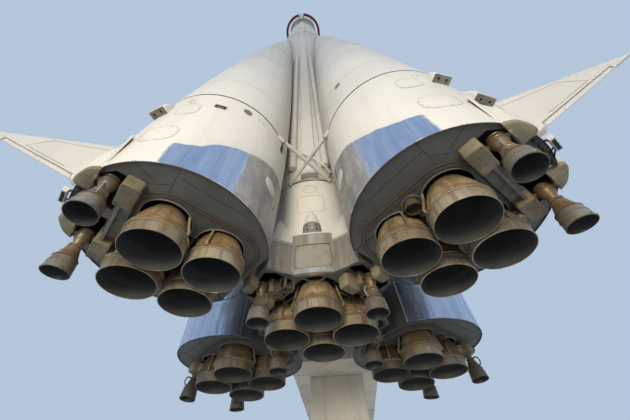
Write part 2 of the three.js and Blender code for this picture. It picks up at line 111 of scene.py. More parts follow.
PLATE = 0.012  # the base plate stands this far up inside the skin's lip
PLATE_TOP = 0.034
RECESS = dict(x=-0.2, half_x=0.84, half_y=0.81, corner=0.42)
RECESS_DEPTH = 0.85
BELL_HOLE = 0.34
CENTRE_HOLE = 0.35
ENGINE_RADIUS = 2.543
NOZZLE_OFFSET = 0.5535
CUP_PLACE = (2.55, -0.655)
HOOP = 0.155  # height of a bell's hoop, at the top of its straight lip
CORE_NOZZLE_OFFSET = 0.5607
CORE_NOZZLE_DROP = 0.016

PIVOT = (3.691, 0.55, 0.527)
PIVOT_CANT = 5  # degrees
CORE_PIVOT = (1.195, 0, 0.43)
STEERING_HOOP = -0.39  # height of a steering nozzle's step, below its pivot
STEERING_EXIT = -0.58

CORE_RADIUS = 1.03
CORE_BASE = 0.47
CORE_TAIL_TOP = 2.99
CORE = [(2.991, 1.03), (12.5, 1.03), (18.6, 1.215), (19.262, 1.24), (19.7, 1.475), (20.9, 1.475), (26.2, 1.15)]
WELL_RADIUS = 0.39
POD_TURNS = (45, 135, 225, 315)
EAVES = 1.1
ROOF_TOP = 2.0

SUPPORT_X = 0.12
MAST_FRONT = 3.15


# Placing

UP, DOWN = Vector((0, 0, 1)), Vector((0, 0, -1))
shift = Matrix.Translation


def spin(degrees, axis="Z"):
    return Matrix.Rotation(math.radians(degrees), 4, axis)


def polar(radius, degrees, *height):
    angle = math.radians(degrees)
    return (radius * math.cos(angle), radius * math.sin(angle), *height)


# Shapes: each is a list of points and a list of faces

def turned(profile, sides=64, closed=False):
    """(radius, height) pairs, up the outside, turned round Z; a radius of 0 is a point on the axis."""
    points, rings = [], []
    for radius, height in profile:
        count = 1 if radius == 0 else sides
        rings.append([len(points) + i for i in range(count)])
        for i in range(count):
            angle = 2 * math.pi * i / sides
            points.append((radius * math.cos(angle), radius * math.sin(angle), height))
    if closed:
        rings.append(rings[0])
    faces = []
    for low, high in zip(rings, rings[1:]):
        for i in range(sides):
            j = (i + 1) % sides
            corners = [low[i % len(low)], low[j % len(low)], high[j % len(high)], high[i % len(high)]]
            face = [c for n, c in enumerate(corners) if c not in corners[:n]]
            if len(face) > 2:
                faces.append(face)
    return points, faces


def prism(outline, low, high, holes=()):
    """An outline of (x, y) points, anticlockwise, from height low to high; holes go right through."""
    loops = [list(outline)] + [list(hole) for hole in holes]
    flat = [Vector((x, y, 0)) for loop in loops for x, y in loop]
    count = len(flat)
    if holes:
        caps = geometry.tessellate_polygon([[Vector((x, y, 0)) for x, y in loop] for loop in loops])
        caps = [turned_up(face, flat) for face in caps]
    else:
        caps = [list(range(count))]
    points = [(p.x, p.y, low) for p in flat] + [(p.x, p.y, high) for p in flat]
    faces = [list(reversed(face)) for face in caps] + [[i + count for i in face] for face in caps]
    start = 0
    for n, loop in enumerate(loops):
        ring = [start + i for i in range(len(loop))]
        if n and area(loop) > 0 or not n and area(loop) < 0:
            ring.reverse()
        for a, b in zip(ring, ring[1:] + ring[:1]):
            faces.append([a, b, b + count, a + count])
        start += len(loop)
    return points, faces


def area(loop):
    pairs = zip(loop, loop[1:] + loop[:1])
    return sum(x0 * y1 - x1 * y0 for (x0, y0), (x1, y1) in pairs) / 2


def turned_up(face, flat):
    a, b, c = (flat[i] for i in face)
    return list(face) if (b - a).cross(c - a).z > 0 else list(reversed(face))


def box(low, high):
    (x0, y0, z0), (x1, y1, z1) = low, high
    return prism([(x0, y0), (x1, y0), (x1, y1), (x0, y1)], z0, z1)


def drum(radius, low, high, sides=48, at=(0, 0)):
    solid = turned([(0, low), (radius, low), (radius, high), (0, high)], sides)
    return moved(solid, shift((*at, 0)))


def ring(inner, outer, low, high, sides=32):
    return turned([(inner, low), (outer, low), (outer, high), (inner, high)], sides, closed=True)


def loft(sections, closed_ends=True):
    """Outlines of equally many 3-D points, each anticlockwise seen from the last one's side."""
    count = len(sections[0])
    points = [tuple(p) for section in sections for p in section]
    faces = []
    for level in range(len(sections) - 1):
        for i in range(count):
            a, b = level * count + i, level * count + (i + 1) % count
            faces.append([a, b, b + count, a + count])
    if closed_ends:
        faces.append(list(reversed(range(count))))
        faces.append([len(points) - count + i for i in range(count)])
    return points, faces


def tube(path, radius, sides=8, closed=False):
    """A round tube along points; radius is one number or one for each point."""
    path = [Vector(p) for p in path]
    radii = radius if isinstance(radius, (list, tuple)) else [radius] * len(path)
    ahead = path[1:] + [path[0] if closed else 2 * path[-1] - path[-2]]
    behind = [path[-1] if closed else 2 * path[0] - path[1]] + path[:-1]
    side = None
    sections = []
    for point, before, after, r in zip(path, behind, ahead, radii):
        way = (after - before).normalized()
        side = side - way * side.dot(way) if side else way.orthogonal()
        side.normalize()
        across = way.cross(side)
        turns = [2 * math.pi * i / sides for i in range(sides)]
        sections.append([point + side * (r * math.cos(t)) + across * (r * math.sin(t)) for t in turns])
    points, faces = loft(sections, closed_ends=not closed)
    if closed:
        last = len(points) - sides
        for i in range(sides):
            faces.append([last + i, last + (i + 1) % sides, (i + 1) % sides, i])
    return points, faces


def smooth_path(points, steps=5):
    """Catmull-Rom points through the given ones."""
    p = [Vector(q) for q in points]
    p = [2 * p[0] - p[1]] + p + [2 * p[-1] - p[-2]]
    out = []
    for a, b, c, d in zip(p, p[1:], p[2:], p[3:]):
        for i in range(steps):
            t = i / steps
            out.append(0.5 * (2 * b + (c - a) * t + (2 * a - 5 * b + 4 * c - d) * t * t
                              + (3 * b - a - 3 * c + d) * t ** 3))
    return out + [p[-2]]


def pipe(points, radius, sides=8):
    return tube(smooth_path(points), radius, sides)


def circle(radius, height, sides=64, at=(0, 0)):
    turns = (2 * math.pi * i / sides for i in range(sides))
    return [(at[0] + radius * math.cos(t), at[1] + radius * math.sin(t), height) for t in turns]


def hoop(radius, height, fat, sides=64):
    return tube(circle(radius, height, sides), fat, 6, closed=True)


def rounded(x, half_x, half_y, corner, steps=8):
    """A rounded rectangle's outline, anticlockwise."""
    outline = []
    for turn, sx, sy in [(-90, 1, -1), (0, 1, 1), (90, -1, 1), (180, -1, -1)]:
        for i in range(steps + 1):
            angle = math.radians(turn + 90 * i / steps)
            outline.append((x + sx * (half_x - corner) + corner * math.cos(angle),
                            sy * (half_y - corner) + corner * math.sin(angle)))
    return outline


def grown(outline, amount):
    """An anticlockwise outline moved outwards."""
    out = []
    for before, here, after in zip(outline[-1:] + outline[:-1], outline, outline[1:] + outline[:1]):
        a = (Vector(here) - Vector(before)).normalized()
        b = (Vector(after) - Vector(here)).normalized()
        normal = Vector((a.y + b.y, -a.x - b.x)).normalized()
        share = amount / max(0.5, normal.dot(Vector((a.y, -a.x))))
        out.append((here[0] + normal.x * share, here[1] + normal.y * share))
    return out


def along(line, pitch, closed=False):
    """Points (x, y) at about that pitch along a broken line."""
    out = []
    line = line + line[:1] if closed else line
    for (x0, y0), (x1, y1) in zip(line, line[1:]):
        steps = max(1, round(math.hypot(x1 - x0, y1 - y0) / pitch))
        out += [(x0 + (x1 - x0) * (i + 0.5) / steps, y0 + (y1 - y0) * (i + 0.5) / steps) for i in range(steps)]
    return out


def dome(at, normal, radius, height=None):
    """A rivet's head or a bolt's cap."""
    height = height or radius * 0.6
    cap = turned([(radius, -radius * 0.3), (radius * 0.8, height * 0.75), (0, height)], 8)
    return moved(cap, shift(at) @ UP.rotation_difference(Vector(normal)).to_matrix().to_4x4())


def moved(shape, matrix):
    points, faces = shape
    flipped = matrix.determinant() < 0
    return [tuple(matrix @ Vector(p)) for p in points], [f[::-1] for f in faces] if flipped else faces


def side_prism(outline, low, high):
    """(x, z) points, standing, from y = low to y = high."""
    return moved(prism(outline, -high, -low), spin(90, "X"))


def carved(shape, *cutters):
    """The shape less each cutter in turn."""
    for cutter in cutters:
        body = bare_object("body", shape)
        tool = bare_object("tool", cutter)
        cut = body.modifiers.new("cut", "BOOLEAN")
        cut.operation, cut.object, cut.solver = "DIFFERENCE", tool, "MANIFOLD"
        mesh = body.evaluated_get(bpy.context.evaluated_depsgraph_get()).to_mesh()
        shape = [tuple(v.co) for v in mesh.vertices], [list(f.vertices) for f in mesh.polygons]
        for thing in (body, tool):
            bpy.data.objects.remove(thing)
    return shape


def bare_object(name, shape):
    mesh = bpy.data.meshes.new(name)
    mesh.from_pydata(shape[0], [], shape[1])
    thing = bpy.data.objects.new(name, mesh)
    bpy.context.scene.collection.objects.link(thing)
    return thing


class Piece:
    """Shapes that make one visible piece. Each keeps its own frame's coordinates as the attribute "place"."""

    def __init__(self, frame=Matrix()):
        self.frame = frame  # where the shapes added next stand
        self.points, self.place, self.faces, self.finish = [], [], [], []

    def add(self, shape, finish=0, at=Matrix(), pick=None):
        """pick(centre, normal) gives a face's finish from its place in the shape's own frame."""
        points, faces = shape
        matrix = self.frame @ at
        start, flipped = len(self.points), matrix.determinant() < 0
        self.place += points
        self.points += [matrix @ Vector(p) for p in points]
        for face in faces:
            self.finish.append(pick(*centre_and_normal(points, face)) if pick else finish)
            face = [start + i for i in face]
            self.faces.append(face[::-1] if flipped else face)
        return self

    def rivets(self, places, normal, radius, finish=1):
        for place in places:
            self.add(dome(place, normal, radius), finish)


def centre_and_normal(points, face):
    corners = [Vector(points[i]) for i in face]
    centre = sum(corners, Vector()) / len(corners)
    normal = Vector()
    for a, b in zip(corners, corners[1:] + corners[:1]):
        normal += (a - centre).cross(b - centre)
    return centre, normal.normalized()


def show(name, piece, finishes, matrix=REAL, replaces=(), body="root", crease=35, bevel=0.0):
    """Makes the piece an object in the model's frame, riding on a body."""
    mesh = bpy.data.meshes.new(name)
    mesh.from_pydata([matrix @ p for p in piece.points], [], piece.faces)
    place = mesh.attributes.new("place", "FLOAT_VECTOR", "POINT")
    place.data.foreach_set("vector", np.array(piece.place, np.float32).ravel())
    for material in finishes:
        mesh.materials.append(material)
    mesh.polygons.foreach_set("material_index", piece.finish)
    mesh.polygons.foreach_set("use_smooth", [True] * len(piece.faces))
    if matrix.determinant() < 0:
        mesh.flip_normals()
    mesh.validate()
    mesh.set_sharp_from_angle(angle=math.radians(crease))
    thing = bpy.data.objects.new(name, mesh)
    bpy.context.scene.collection.objects.link(thing)
    if bevel:
        edge = thing.modifiers.new("edges", "BEVEL")
        edge.width, edge.segments, edge.limit_method = bevel * SCALE, 2, "ANGLE"
        edge.angle_limit = math.radians(crease)
    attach(thing, body)
    if replaces:
        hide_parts(*replaces)
    return thing


def booster_matrix(name):
    return REAL @ spin(AZIMUTHS[name])


def show_on_boosters(kind, piece, finishes, node=None, handed=False, **settings):
    """One copy of the piece for each booster, turned round the rocket's axis."""
    for name in AZIMUTHS:
        nodes = [f"{node}_{name}"] if node else []
        hand = Matrix.Diagonal((1, HANDS[name] if handed else 1, 1, 1))
        show(f"{kind}_{name}", piece, finishes, booster_matrix(name) @ hand, replaces=nodes, **settings)


# Materials


class Paint:
    """A material with one Principled shader, fed by small helpers that return sockets."""

    def __init__(self, name, slot, metallic=0.0, roughness=0.5):
        self.material = bpy.data.materials.new(name)
        self.material.use_nodes = True
        self.tree = self.material.node_tree
        self.shader = self.tree.nodes["Principled BSDF"]
        self.shader.inputs["Metallic"].default_value = metallic
        self.shader.inputs["Roughness"].default_value = roughness

    def node(self, kind, **inputs):
        made = self.tree.nodes.new(kind)
        for key, value in inputs.items():
            self.put(made.inputs[key.replace("_", " ")], value)
        return made

    def put(self, socket, value):
        if isinstance(value, bpy.types.NodeSocket):
            self.tree.links.new(value, socket)
        else:
            socket.default_value = value

    def where(self, stretch=(1, 1, 1)):
        """The model's own coordinates, stretched."""
        coordinates = self.tree.nodes.new("ShaderNodeTexCoord").outputs["Object"]
        return self.stretched(coordinates, stretch)

    def place(self, stretch=(1, 1, 1)):
        """The shape's own coordinates, in the real rocket's metres."""
        attribute = self.tree.nodes.new("ShaderNodeAttribute")
        attribute.attribute_name = "place"
        return self.stretched(attribute.outputs["Vector"], stretch)

    def stretched(self, vector, stretch):
        if stretch == (1, 1, 1):
            return vector
        return self.node("ShaderNodeMapping", Vector=vector, Scale=stretch).outputs["Vector"]

    def noise(self, scale, detail=4.0, vector=None, rough=0.55, distortion=0.0):
        made = self.node("ShaderNodeTexNoise", Vector=vector or self.where(), Scale=scale, Detail=detail,
                         Roughness=rough, Distortion=distortion)
        return made.outputs["Fac"]

    def ramp(self, value, low, high):
        """0 at low, 1 at high, smooth between them."""
        made = self.node("ShaderNodeMapRange", Value=value, From_Min=low, From_Max=high)
        made.interpolation_type = "SMOOTHSTEP"
        return made.outputs["Result"]

    def math(self, operation, a, b=0.0):
        made = self.node("ShaderNodeMath")
        made.operation = operation
        for socket, value in zip(made.inputs, (a, b)):
            self.put(socket, value)
        return made.outputs["Value"]

    def times(self, a, b):
        return self.math("MULTIPLY", a, b)

    def near(self, value, centre, width):
        """1 where value is at centre, 0 a width away."""
        away = self.math("ABSOLUTE", self.math("SUBTRACT", value, centre))
        return self.math("SUBTRACT", 1.0, self.ramp(away, 0.0, width))

    def mix(self, share, a, b):
        made = self.tree.nodes.new("ShaderNodeMix")
        made.data_type = "RGBA"
        self.put(made.inputs["Factor"], share)
        for socket, value in ((made.inputs[6], a), (made.inputs[7], b)):
            self.put(socket, value if isinstance(value, bpy.types.NodeSocket) else (*value[:3], 1))
        return made.outputs[2]

    def over(self, color, patch, low, high, amount, coat):
        """The colour with a coat over it where the patch value is above low, full at high."""
        return self.mix(self.times(self.ramp(patch, low, high), amount), color, coat)

    def blend(self, share, a, b):
        """A number between a and b."""
        return self.node("ShaderNodeMapRange", Value=share, To_Min=a, To_Max=b).outputs["Result"]

    def split(self, vector):
        return self.node("ShaderNodeSeparateXYZ", Vector=vector).outputs

    def set(self, **sockets):
        for key, value in sockets.items():
            self.put(self.shader.inputs[key.replace("_", " ")], value)

    def bump(self, height, strength=0.3, distance=0.002, under=None):
        made = self.node("ShaderNodeBump", Height=height, Strength=strength, Distance=distance)
        if under:
            self.put(made.inputs["Normal"], under)
        self.put(self.shader.inputs["Normal"], made.outputs["Normal"])
        return made.outputs["Normal"]


CREAM = (0.67, 0.625, 0.54)
CREAM_WARM = (0.54, 0.465, 0.36)
CREAM_GREY = (0.53, 0.51, 0.475)
GRIME = (0.10, 0.085, 0.065)
RUST = (0.20, 0.075, 0.025)


def cream_layers(paint):
    """Weathered cream paint: cloudy patches, faint runs down the metal and small dark specks."""
    color = paint.over(CREAM, paint.noise(0.9, 5), 0.40, 0.70, 0.55, CREAM_GREY)
    color = paint.over(color, paint.noise(7, 4, paint.where((1, 1, 0.07))), 0.50, 0.76, 0.34, CREAM_WARM)
    color = paint.over(color, paint.noise(14, 6), 0.45, 0.75, 0.16, CREAM_WARM)
    color = paint.over(color, paint.noise(2.6, 8, rough=0.68), 0.60, 0.74, 0.30, (0.50, 0.43, 0.33))
    return paint.over(color, paint.noise(60, 2), 0.70, 0.76, 0.5, GRIME)


def cream_paint():
    paint = Paint("cream_paint", "cream_paint")
    paint.set(Base_Color=cream_layers(paint), Roughness=paint.blend(paint.noise(5, 4), 0.36, 0.62))
    paint.bump(paint.noise(2.2, 3), 0.35, 0.01, paint.bump(paint.noise(40, 2), 0.06, 0.001))
    return paint.material


# where the bare steel skirt's upper edge runs: degrees from outwards, height above the base
STEEL_EDGE = [(0, 0.0), (58, 0.50), (70, 0.56), (81, 0.75), (98, 1.02), (110, 1.2), (135, 1.42), (180, 1.5)]


def tail_paint():
    """Cream with a steel skirt, polished at the sides, whose upper paint edge wanders round the booster."""
    paint = Paint("tail_paint", "cream_paint")
    x, y, z = paint.split(paint.place())
    around = paint.math("ARCTAN2", paint.math("ABSOLUTE", y), x)
    edge = paint.tree.nodes.new("ShaderNodeFloatCurve")
    curve = edge.mapping.curves[0]
    curve.points[0].location = (0, 0)
    curve.points[1].location = (1, STEEL_EDGE[-1][1] / TAIL_LENGTH)
    for angle, height in STEEL_EDGE[1:-1]:
        curve.points.new(angle / 180, height / TAIL_LENGTH)
    edge.mapping.update()
    paint.put(edge.inputs["Value"], paint.math("DIVIDE", around, math.pi))
    top = paint.times(edge.outputs["Value"], TAIL_LENGTH)
    wander = paint.times(paint.math("SUBTRACT", paint.noise(3.2, 5, paint.place()), 0.5), 0.22)
    below = paint.math("SUBTRACT", paint.math("ADD", top, wander), z)
    sideways = paint.math("ADD", around, paint.times(wander, 0.4))
    steel = paint.times(paint.ramp(below, -0.02, 0.02),
                        paint.ramp(sideways, math.radians(57.5), math.radians(59.5)))
    rim = paint.math("ADD", z, paint.times(wander, 0.5))
    steel = paint.times(steel, paint.ramp(rim, 0.0, 0.012))
    dull = paint.ramp(sideways, math.radians(98), math.radians(99.5))
    smear = paint.ramp(paint.noise(5.5, 8, paint.place((1, 1, 0.45)), 0.62, 0.6), 0.40, 0.66)
    dull = paint.times(dull, paint.blend(smear, 0.80, 1.0))
    # On the boosters at the back, picked by where they stand in the model, the dull patch gives way to the polished
    # colour: painted reflection.
    rear = paint.ramp(paint.split(paint.where())[1], -0.1, 0.1)
    dull = paint.times(dull, paint.blend(rear, 1.0, 0.12))
    haze = paint.noise(9, 5, paint.place((1, 1, 0.12)))
    # The polished steel's colour is tinted blue: a painted reflection of the sky.
    metal = paint.mix(paint.ramp(haze, 0.32, 0.74), (0.44, 0.52, 0.69), (0.62, 0.68, 0.80))
    metal = paint.mix(dull, metal, paint.mix(smear, (0.22, 0.20, 0.165), (0.42, 0.385, 0.32)))
    metal = paint.over(metal, paint.noise(3.5, 8, paint.place((1, 1, 0.3)), 0.65), 0.56, 0.70, 0.5,
                       (0.62, 0.59, 0.53))
    paint.set(Base_Color=paint.mix(steel, cream_layers(paint), metal),
              Metallic=paint.times(steel, paint.blend(dull, 1.0, 0.18)),
              Roughness=paint.blend(steel, 0.5, paint.blend(dull, paint.blend(haze, 0.16, 0.30), 0.40)))
    dents = paint.bump(paint.noise(2.1, 3, paint.place((1, 1, 0.6))), 0.8, 0.02)
    paint.bump(paint.noise(90, 3), 0.1, 0.001, dents)
    return paint.material


def grey_paint(name, light, dark):
    """Grey paint of the undersides, with soot, drips and worn patches."""
    paint = Paint(name, "cream_paint", roughness=0.6)
    cloud = paint.ramp(paint.noise(1.6, 6), 0.36, 0.68)
    color = paint.mix(cloud, dark, light)
    color = paint.over(color, paint.noise(7, 7), 0.52, 0.74, 0.45, (0.06, 0.055, 0.045))
    color = paint.over(color, paint.noise(24, 5), 0.62, 0.72, 0.35, light)
    color = paint.over(color, paint.noise(16, 6), 0.66, 0.74, 0.6, RUST)
    x, y, _ = paint.split(paint.place())
    out = paint.math("SQRT", paint.math("ADD", paint.times(x, x), paint.times(y, y)))
    from_bay = paint.math("ABSOLUTE", paint.math("SUBTRACT", x, RECESS["x"]))
    across = paint.math("DIVIDE", from_bay, RECESS["half_x"])
    sideways = paint.math("DIVIDE", paint.math("ABSOLUTE", y), RECESS["half_y"])
    bay = paint.near(paint.math("MAXIMUM", across, sideways), 1.03, 0.13)
    edge = paint.math("MAXIMUM", bay, paint.ramp(out, TAIL_RADIUS - 0.13, TAIL_RADIUS - 0.02))
    blotches = paint.ramp(paint.noise(6, 8, rough=0.7), 0.42, 0.62)
    stained = paint.times(paint.times(edge, blotches), 0.62)
    color = paint.mix(stained, color, (0.095, 0.06, 0.035))
    paint.set(Base_Color=color, Roughness=paint.blend(cloud, 0.5, 0.75))
    paint.bump(paint.noise(30, 5), 0.2, 0.002, paint.bump(paint.noise(3, 3), 0.25, 0.01))
    return paint.material


def nozzle_metal(name, light, dark, tan, rusted, hoop_height, metallic):
    """Heat-tanned metal, browner above its hoop, with soot streaks and rust that gathers at the hoop."""
    paint = Paint(name, "nozzle_steel", metallic=metallic)
    z = paint.split(paint.place())[2]
    haze = paint.ramp(paint.noise(2.6, 6), 0.34, 0.68)
    color = paint.mix(haze, light, dark)
    above = paint.ramp(z, hoop_height - 0.01, hoop_height + 0.02)
    color = paint.mix(paint.times(above, paint.blend(haze, 0.95, 0.65)), color, tan)
    upper = paint.ramp(z, hoop_height + 0.10, hoop_height + 0.42)
    color = paint.mix(paint.times(upper, 0.85), color, tuple(c * 0.30 for c in tan))
    streaks = paint.noise(15, 6, paint.where((1, 1, 0.12)))
    color = paint.over(color, streaks, 0.48, 0.72, 0.65, tuple(c * 0.42 for c in dark))
    near_hoop = paint.near(z, hoop_height + 0.055, 0.075)
    patchy = paint.ramp(paint.noise(9, 7), 0.40, 0.56)
    rust = paint.times(paint.times(near_hoop, patchy), rusted)
    color = paint.mix(rust, color, (0.22, 0.085, 0.03))
    color = paint.over(color, paint.noise(8, 8, rough=0.7), 0.585, 0.66, 0.75 * rusted, RUST)
    drips = paint.noise(17, 6, paint.where((1.3, 1.3, 0.10)), 0.6)
    color = paint.over(color, drips, 0.50, 0.64, 0.62 * rusted ** 2, (0.215, 0.118, 0.052))
    scorched = paint.times(above, paint.noise(5, 8, paint.where((1, 1, 0.5)), 0.7))
    color = paint.over(color, scorched, 0.44, 0.62, 0.75 * rusted ** 3, (0.26, 0.125, 0.035))
    color = paint.over(color, paint.noise(26, 5), 0.60, 0.74, 0.4, (0.10, 0.085, 0.065))
    # Darker on the engines at the back, picked by where they stand in the model: painted shade.
    rear = paint.ramp(paint.split(paint.where())[1], 0.0, 0.9)
    color = paint.mix(paint.times(rear, 0.60), color, (0.040, 0.034, 0.026))
    paint.set(Base_Color=color, Roughness=paint.blend(rust, paint.blend(haze, 0.34, 0.50), 0.8))
    paint.bump(paint.noise(40, 5), 0.25, 0.0015, paint.bump(paint.noise(5, 3), 0.2, 0.006))
    return paint.material


def bell_inside(name, exit_height, lit):
    """The inside of a nozzle, dark with soot, lighter towards its exit and darker deeper in: that fall-off is painted
    shade.
    """
    paint = Paint(name, "nozzle_steel", metallic=0.2, roughness=0.55)
    color = paint.mix(paint.ramp(paint.noise(4, 5), 0.35, 0.7), (0.032, 0.034, 0.031), (0.050, 0.049, 0.043))
    color = paint.over(color, paint.noise(9, 7), 0.55, 0.75, 0.4, (0.11, 0.10, 0.085))
    deep = paint.ramp(paint.split(paint.place())[2], exit_height + 0.02, exit_height + 0.36)
    color = paint.mix(deep, lit, color)
    paint.set(Base_Color=color)
    paint.bump(paint.noise(30, 4), 0.2, 0.001)
    return paint.material


def panel_steel(name, light, dark, stain, rough=(0.26, 0.5)):
    """Bare sheet steel: streaked, with tarnish and rust runs."""
    paint = Paint(name, "cream_paint", metallic=0.5)
    streaks = paint.noise(16, 6, paint.where((1, 1, 0.06)))
    color = paint.mix(paint.ramp(streaks, 0.35, 0.7), light, dark)
    color = paint.over(color, paint.noise(3.5, 6), 0.35, 0.7, 0.5, stain)
    color = paint.over(color, paint.noise(10, 6, paint.where((1, 1, 0.25))), 0.54, 0.68, 0.65, (0.23, 0.12, 0.05))
    paint.set(Base_Color=color, Roughness=paint.blend(streaks, *rough))
    paint.bump(streaks, 0.1, 0.002, paint.bump(paint.noise(3, 3), 0.3, 0.01))
    return paint.material


def layered(name, slot, base, coats=(), bump=(40, 4, 0.15, 0.001), roughness=0.5, metallic=0.0):
    """A finish in layers.

    base is a colour, or two with the noise that mixes them: its scale, detail and perhaps low and high.
    A coat has its noise's scale, detail and upright stretch, low, high, the amount and the colour.
    bump is a noise's scale and detail, the strength and the depth.
    roughness is a number, or two that follow the base's noise or one of the given scale and detail.
    """
    paint = Paint(name, slot, metallic=metallic)
    color = base
    if len(base) > 3:
        first, second, scale, detail, *limits = base
        share = paint.noise(scale, detail)
        share = paint.ramp(share, *limits) if limits else share
        color = paint.mix(share, first, second)
    for scale, detail, stretch, low, high, amount, coat in coats:
        patches = paint.noise(scale, detail, paint.where((1, 1, stretch)))
        color = paint.over(color, patches, low, high, amount, coat)
    if isinstance(roughness, tuple):
        smooth, rough, *own = roughness
        roughness = paint.blend(paint.noise(*own) if own else share, smooth, rough)
    paint.set(Base_Color=color, Roughness=roughness)
    scale, detail, strength, depth = bump
    paint.bump(paint.noise(scale, detail), strength, depth)
    return paint.material


cream = cream_paint()
tail = tail_paint()
# The base grey is darker than the undersides' paint itself: painted shade.
grey = grey_paint("base_paint_and_shade", (0.142, 0.139, 0.122), (0.098, 0.099, 0.088))
lip_grey = grey_paint("lip_paint", (0.26, 0.245, 0.205), (0.17, 0.16, 0.13))
strip_brown = grey_paint("strip_paint", (0.125, 0.110, 0.080), (0.070, 0.058, 0.040))
# Near-black: where it lines the insides of bays, wells, pockets, sockets and openings it is painted shade.
dark = layered("dark_inside", "nozzle_steel", ((0.012, 0.011, 0.010), (0.035, 0.031, 0.026), 6, 5),
               bump=(25, 4, 0.3, 0.003), roughness=0.8)
bell_metal = nozzle_metal("bell_metal", (0.48, 0.40, 0.27), (0.27, 0.21, 0.135), (0.60, 0.445, 0.23), 1.0, HOOP,
                          metallic=0.40)
steering_metal = nozzle_metal("steering_metal", (0.33, 0.295, 0.23), (0.19, 0.165, 0.12), (0.36, 0.285, 0.18), 0.8,
                              STEERING_HOOP, metallic=0.45)
soot_and_painted_shade = bell_inside("bell_inside", 0, (0.092, 0.091, 0.078))
steering_inside = bell_inside("steering_inside", STEERING_EXIT, (0.045, 0.046, 0.042))
bracket = layered("bracket_paint", "cream_paint", ((0.29, 0.245, 0.15), (0.155, 0.12, 0.068), 5, 6, 0.35, 0.7),
                  [(13, 7, 0.5, 0.54, 0.70, 0.7, (0.22, 0.10, 0.04)),
                   (24, 5, 1, 0.58, 0.75, 0.5, (0.06, 0.05, 0.035))], (45, 4, 0.2, 0.0015), (0.42, 0.62), metallic=0.1)
rusty = layered("rusty_steel", "nozzle_steel", ((0.10, 0.083, 0.056), (0.092, 0.058, 0.033), 11, 7, 0.38, 0.62),
                bump=(40, 5, 0.4, 0.003), roughness=0.75, metallic=0.1)
seam = layered("seam", "cream_paint", ((0.10, 0.075, 0.06), (0.26, 0.19, 0.14), 8, 5, 0.4, 0.65),
               bump=(60, 3, 0.2, 0.001), roughness=0.7)
steel = panel_steel("panel_steel", (0.46, 0.41, 0.33), (0.30, 0.255, 0.19), (0.31, 0.26, 0.195))
bright_steel = panel_steel("bright_steel", (0.50, 0.49, 0.46), (0.36, 0.34, 0.30), (0.38, 0.34, 0.27), (0.25, 0.45))
# Dark steel for the flat sides that face the core: painted shade.
flat_steel = panel_steel("flat_steel", (0.20, 0.205, 0.21), (0.12, 0.122, 0.125), (0.14, 0.135, 0.13), (0.35, 0.6))
inset = layered("inset_panel", "cream_paint", (0.285, 0.255, 0.195),
                [(9, 6, 1, 0.42, 0.66, 0.8, (0.215, 0.20, 0.13)), (11, 6, 1, 0.66, 0.68, 0.9, (0.68, 0.63, 0.50)),
                 (30, 4, 1, 0.62, 0.70, 0.5, GRIME)], (40, 4, 0.25, 0.001), 0.6)
beige = layered("support_paint", "support_paint", ((0.80, 0.71, 0.56), (0.71, 0.62, 0.48), 1.1, 5, 0.4, 0.7),
                [(6, 5, 0.06, 0.5, 0.75, 0.35, (0.40, 0.33, 0.24)), (30, 4, 1, 0.66, 0.74, 0.4, GRIME)],
                (2, 3, 0.25, 0.01), (0.42, 0.58))
clamp = layered("clamp_paint", "clamp_paint", ((0.16, 0.012, 0.020), (0.09, 0.008, 0.012), 8, 5), roughness=0.45)
strut = layered("strut_steel", "bare_steel", ((0.42, 0.41, 0.38), (0.30, 0.285, 0.26), 5, 5),
                roughness=(0.35, 0.55, 9, 4), metallic=0.7)
slab = layered("concrete", "concrete", ((0.40, 0.39, 0.37), (0.31, 0.30, 0.28), 0.8, 6, 0.35, 0.7),
               [(55, 3, 1, 0.64, 0.72, 0.5, (0.16, 0.155, 0.145))], (35, 6, 0.5, 0.004), 0.9)


# The boosters' skin

def radius_at(s):
    """A booster's radius at s along its axis, on a smooth curve through TANK."""
    if s <= TAIL_LENGTH:
        return TAIL_RADIUS
    heights, radii = zip(*TANK)
    last = len(TANK) - 1
    k = next(i for i in range(1, last + 1) if heights[i] >= s or i == last)
    step = heights[k] - heights[k - 1]
    t = (s - heights[k - 1]) / step
    rises = []
    for i in (k - 1, k):
        before, after = max(i - 1, 0), min(i + 1, last)
        rises.append(step * (radii[after] - radii[before]) / (heights[after] - heights[before]))
    return (radii[k - 1] * (1 + 2 * t) * (1 - t) ** 2 + rises[0] * t * (1 - t) ** 2
            + radii[k] * t * t * (3 - 2 * t) + rises[1] * t * t * (t - 1))


def on_skin(azimuth, s, proud=0.0):
    """A point of the leaning frame on the booster's skin; azimuth in degrees from outwards."""
    return polar(radius_at(s) + proud, azimuth, s)


def skin_outline(azimuth, s, half_width, half_height, corner):
    """A rounded rectangle on the skin as (azimuth, s) pairs; sizes in metres."""
    wide = math.degrees(1 / radius_at(s))
    return [(azimuth + x * wide, s + y) for x, y in rounded(0, half_width, half_height, corner, 5)]


def skin_patch(outline, proud):
    """A thin cover plate that follows the skin."""
    azimuth, s = (sum(values) / len(outline) for values in zip(*outline))
    sections = [[on_skin(a, h, -0.004) for a, h in outline]]
    for share in (1.0, 0.985, 0.7, 0.4, 0.15):
        lift = proud if share < 1 else proud * 0.6
        sections.append([on_skin(azimuth + (a - azimuth) * share, s + (h - s) * share, lift) for a, h in outline])
    return loft(sections)


def skin_loop(outline, radius, proud=0.0):
    return tube([on_skin(a, h, proud) for a, h in outline], radius, 5, closed=True)


def skin_line(points, radius):
    """A thin seam line through (azimuth, s) pairs."""
    path = []
    for (a0, s0), (a1, s1) in zip(points, points[1:]):
        steps = max(1, int(abs(a1 - a0) / 4))
        path += [on_skin(a0 + (a1 - a0) * i / steps, s0 + (s1 - s0) * i / steps) for i in range(steps)]
    return tube(path + [on_skin(*points[-1])], radius, 5)


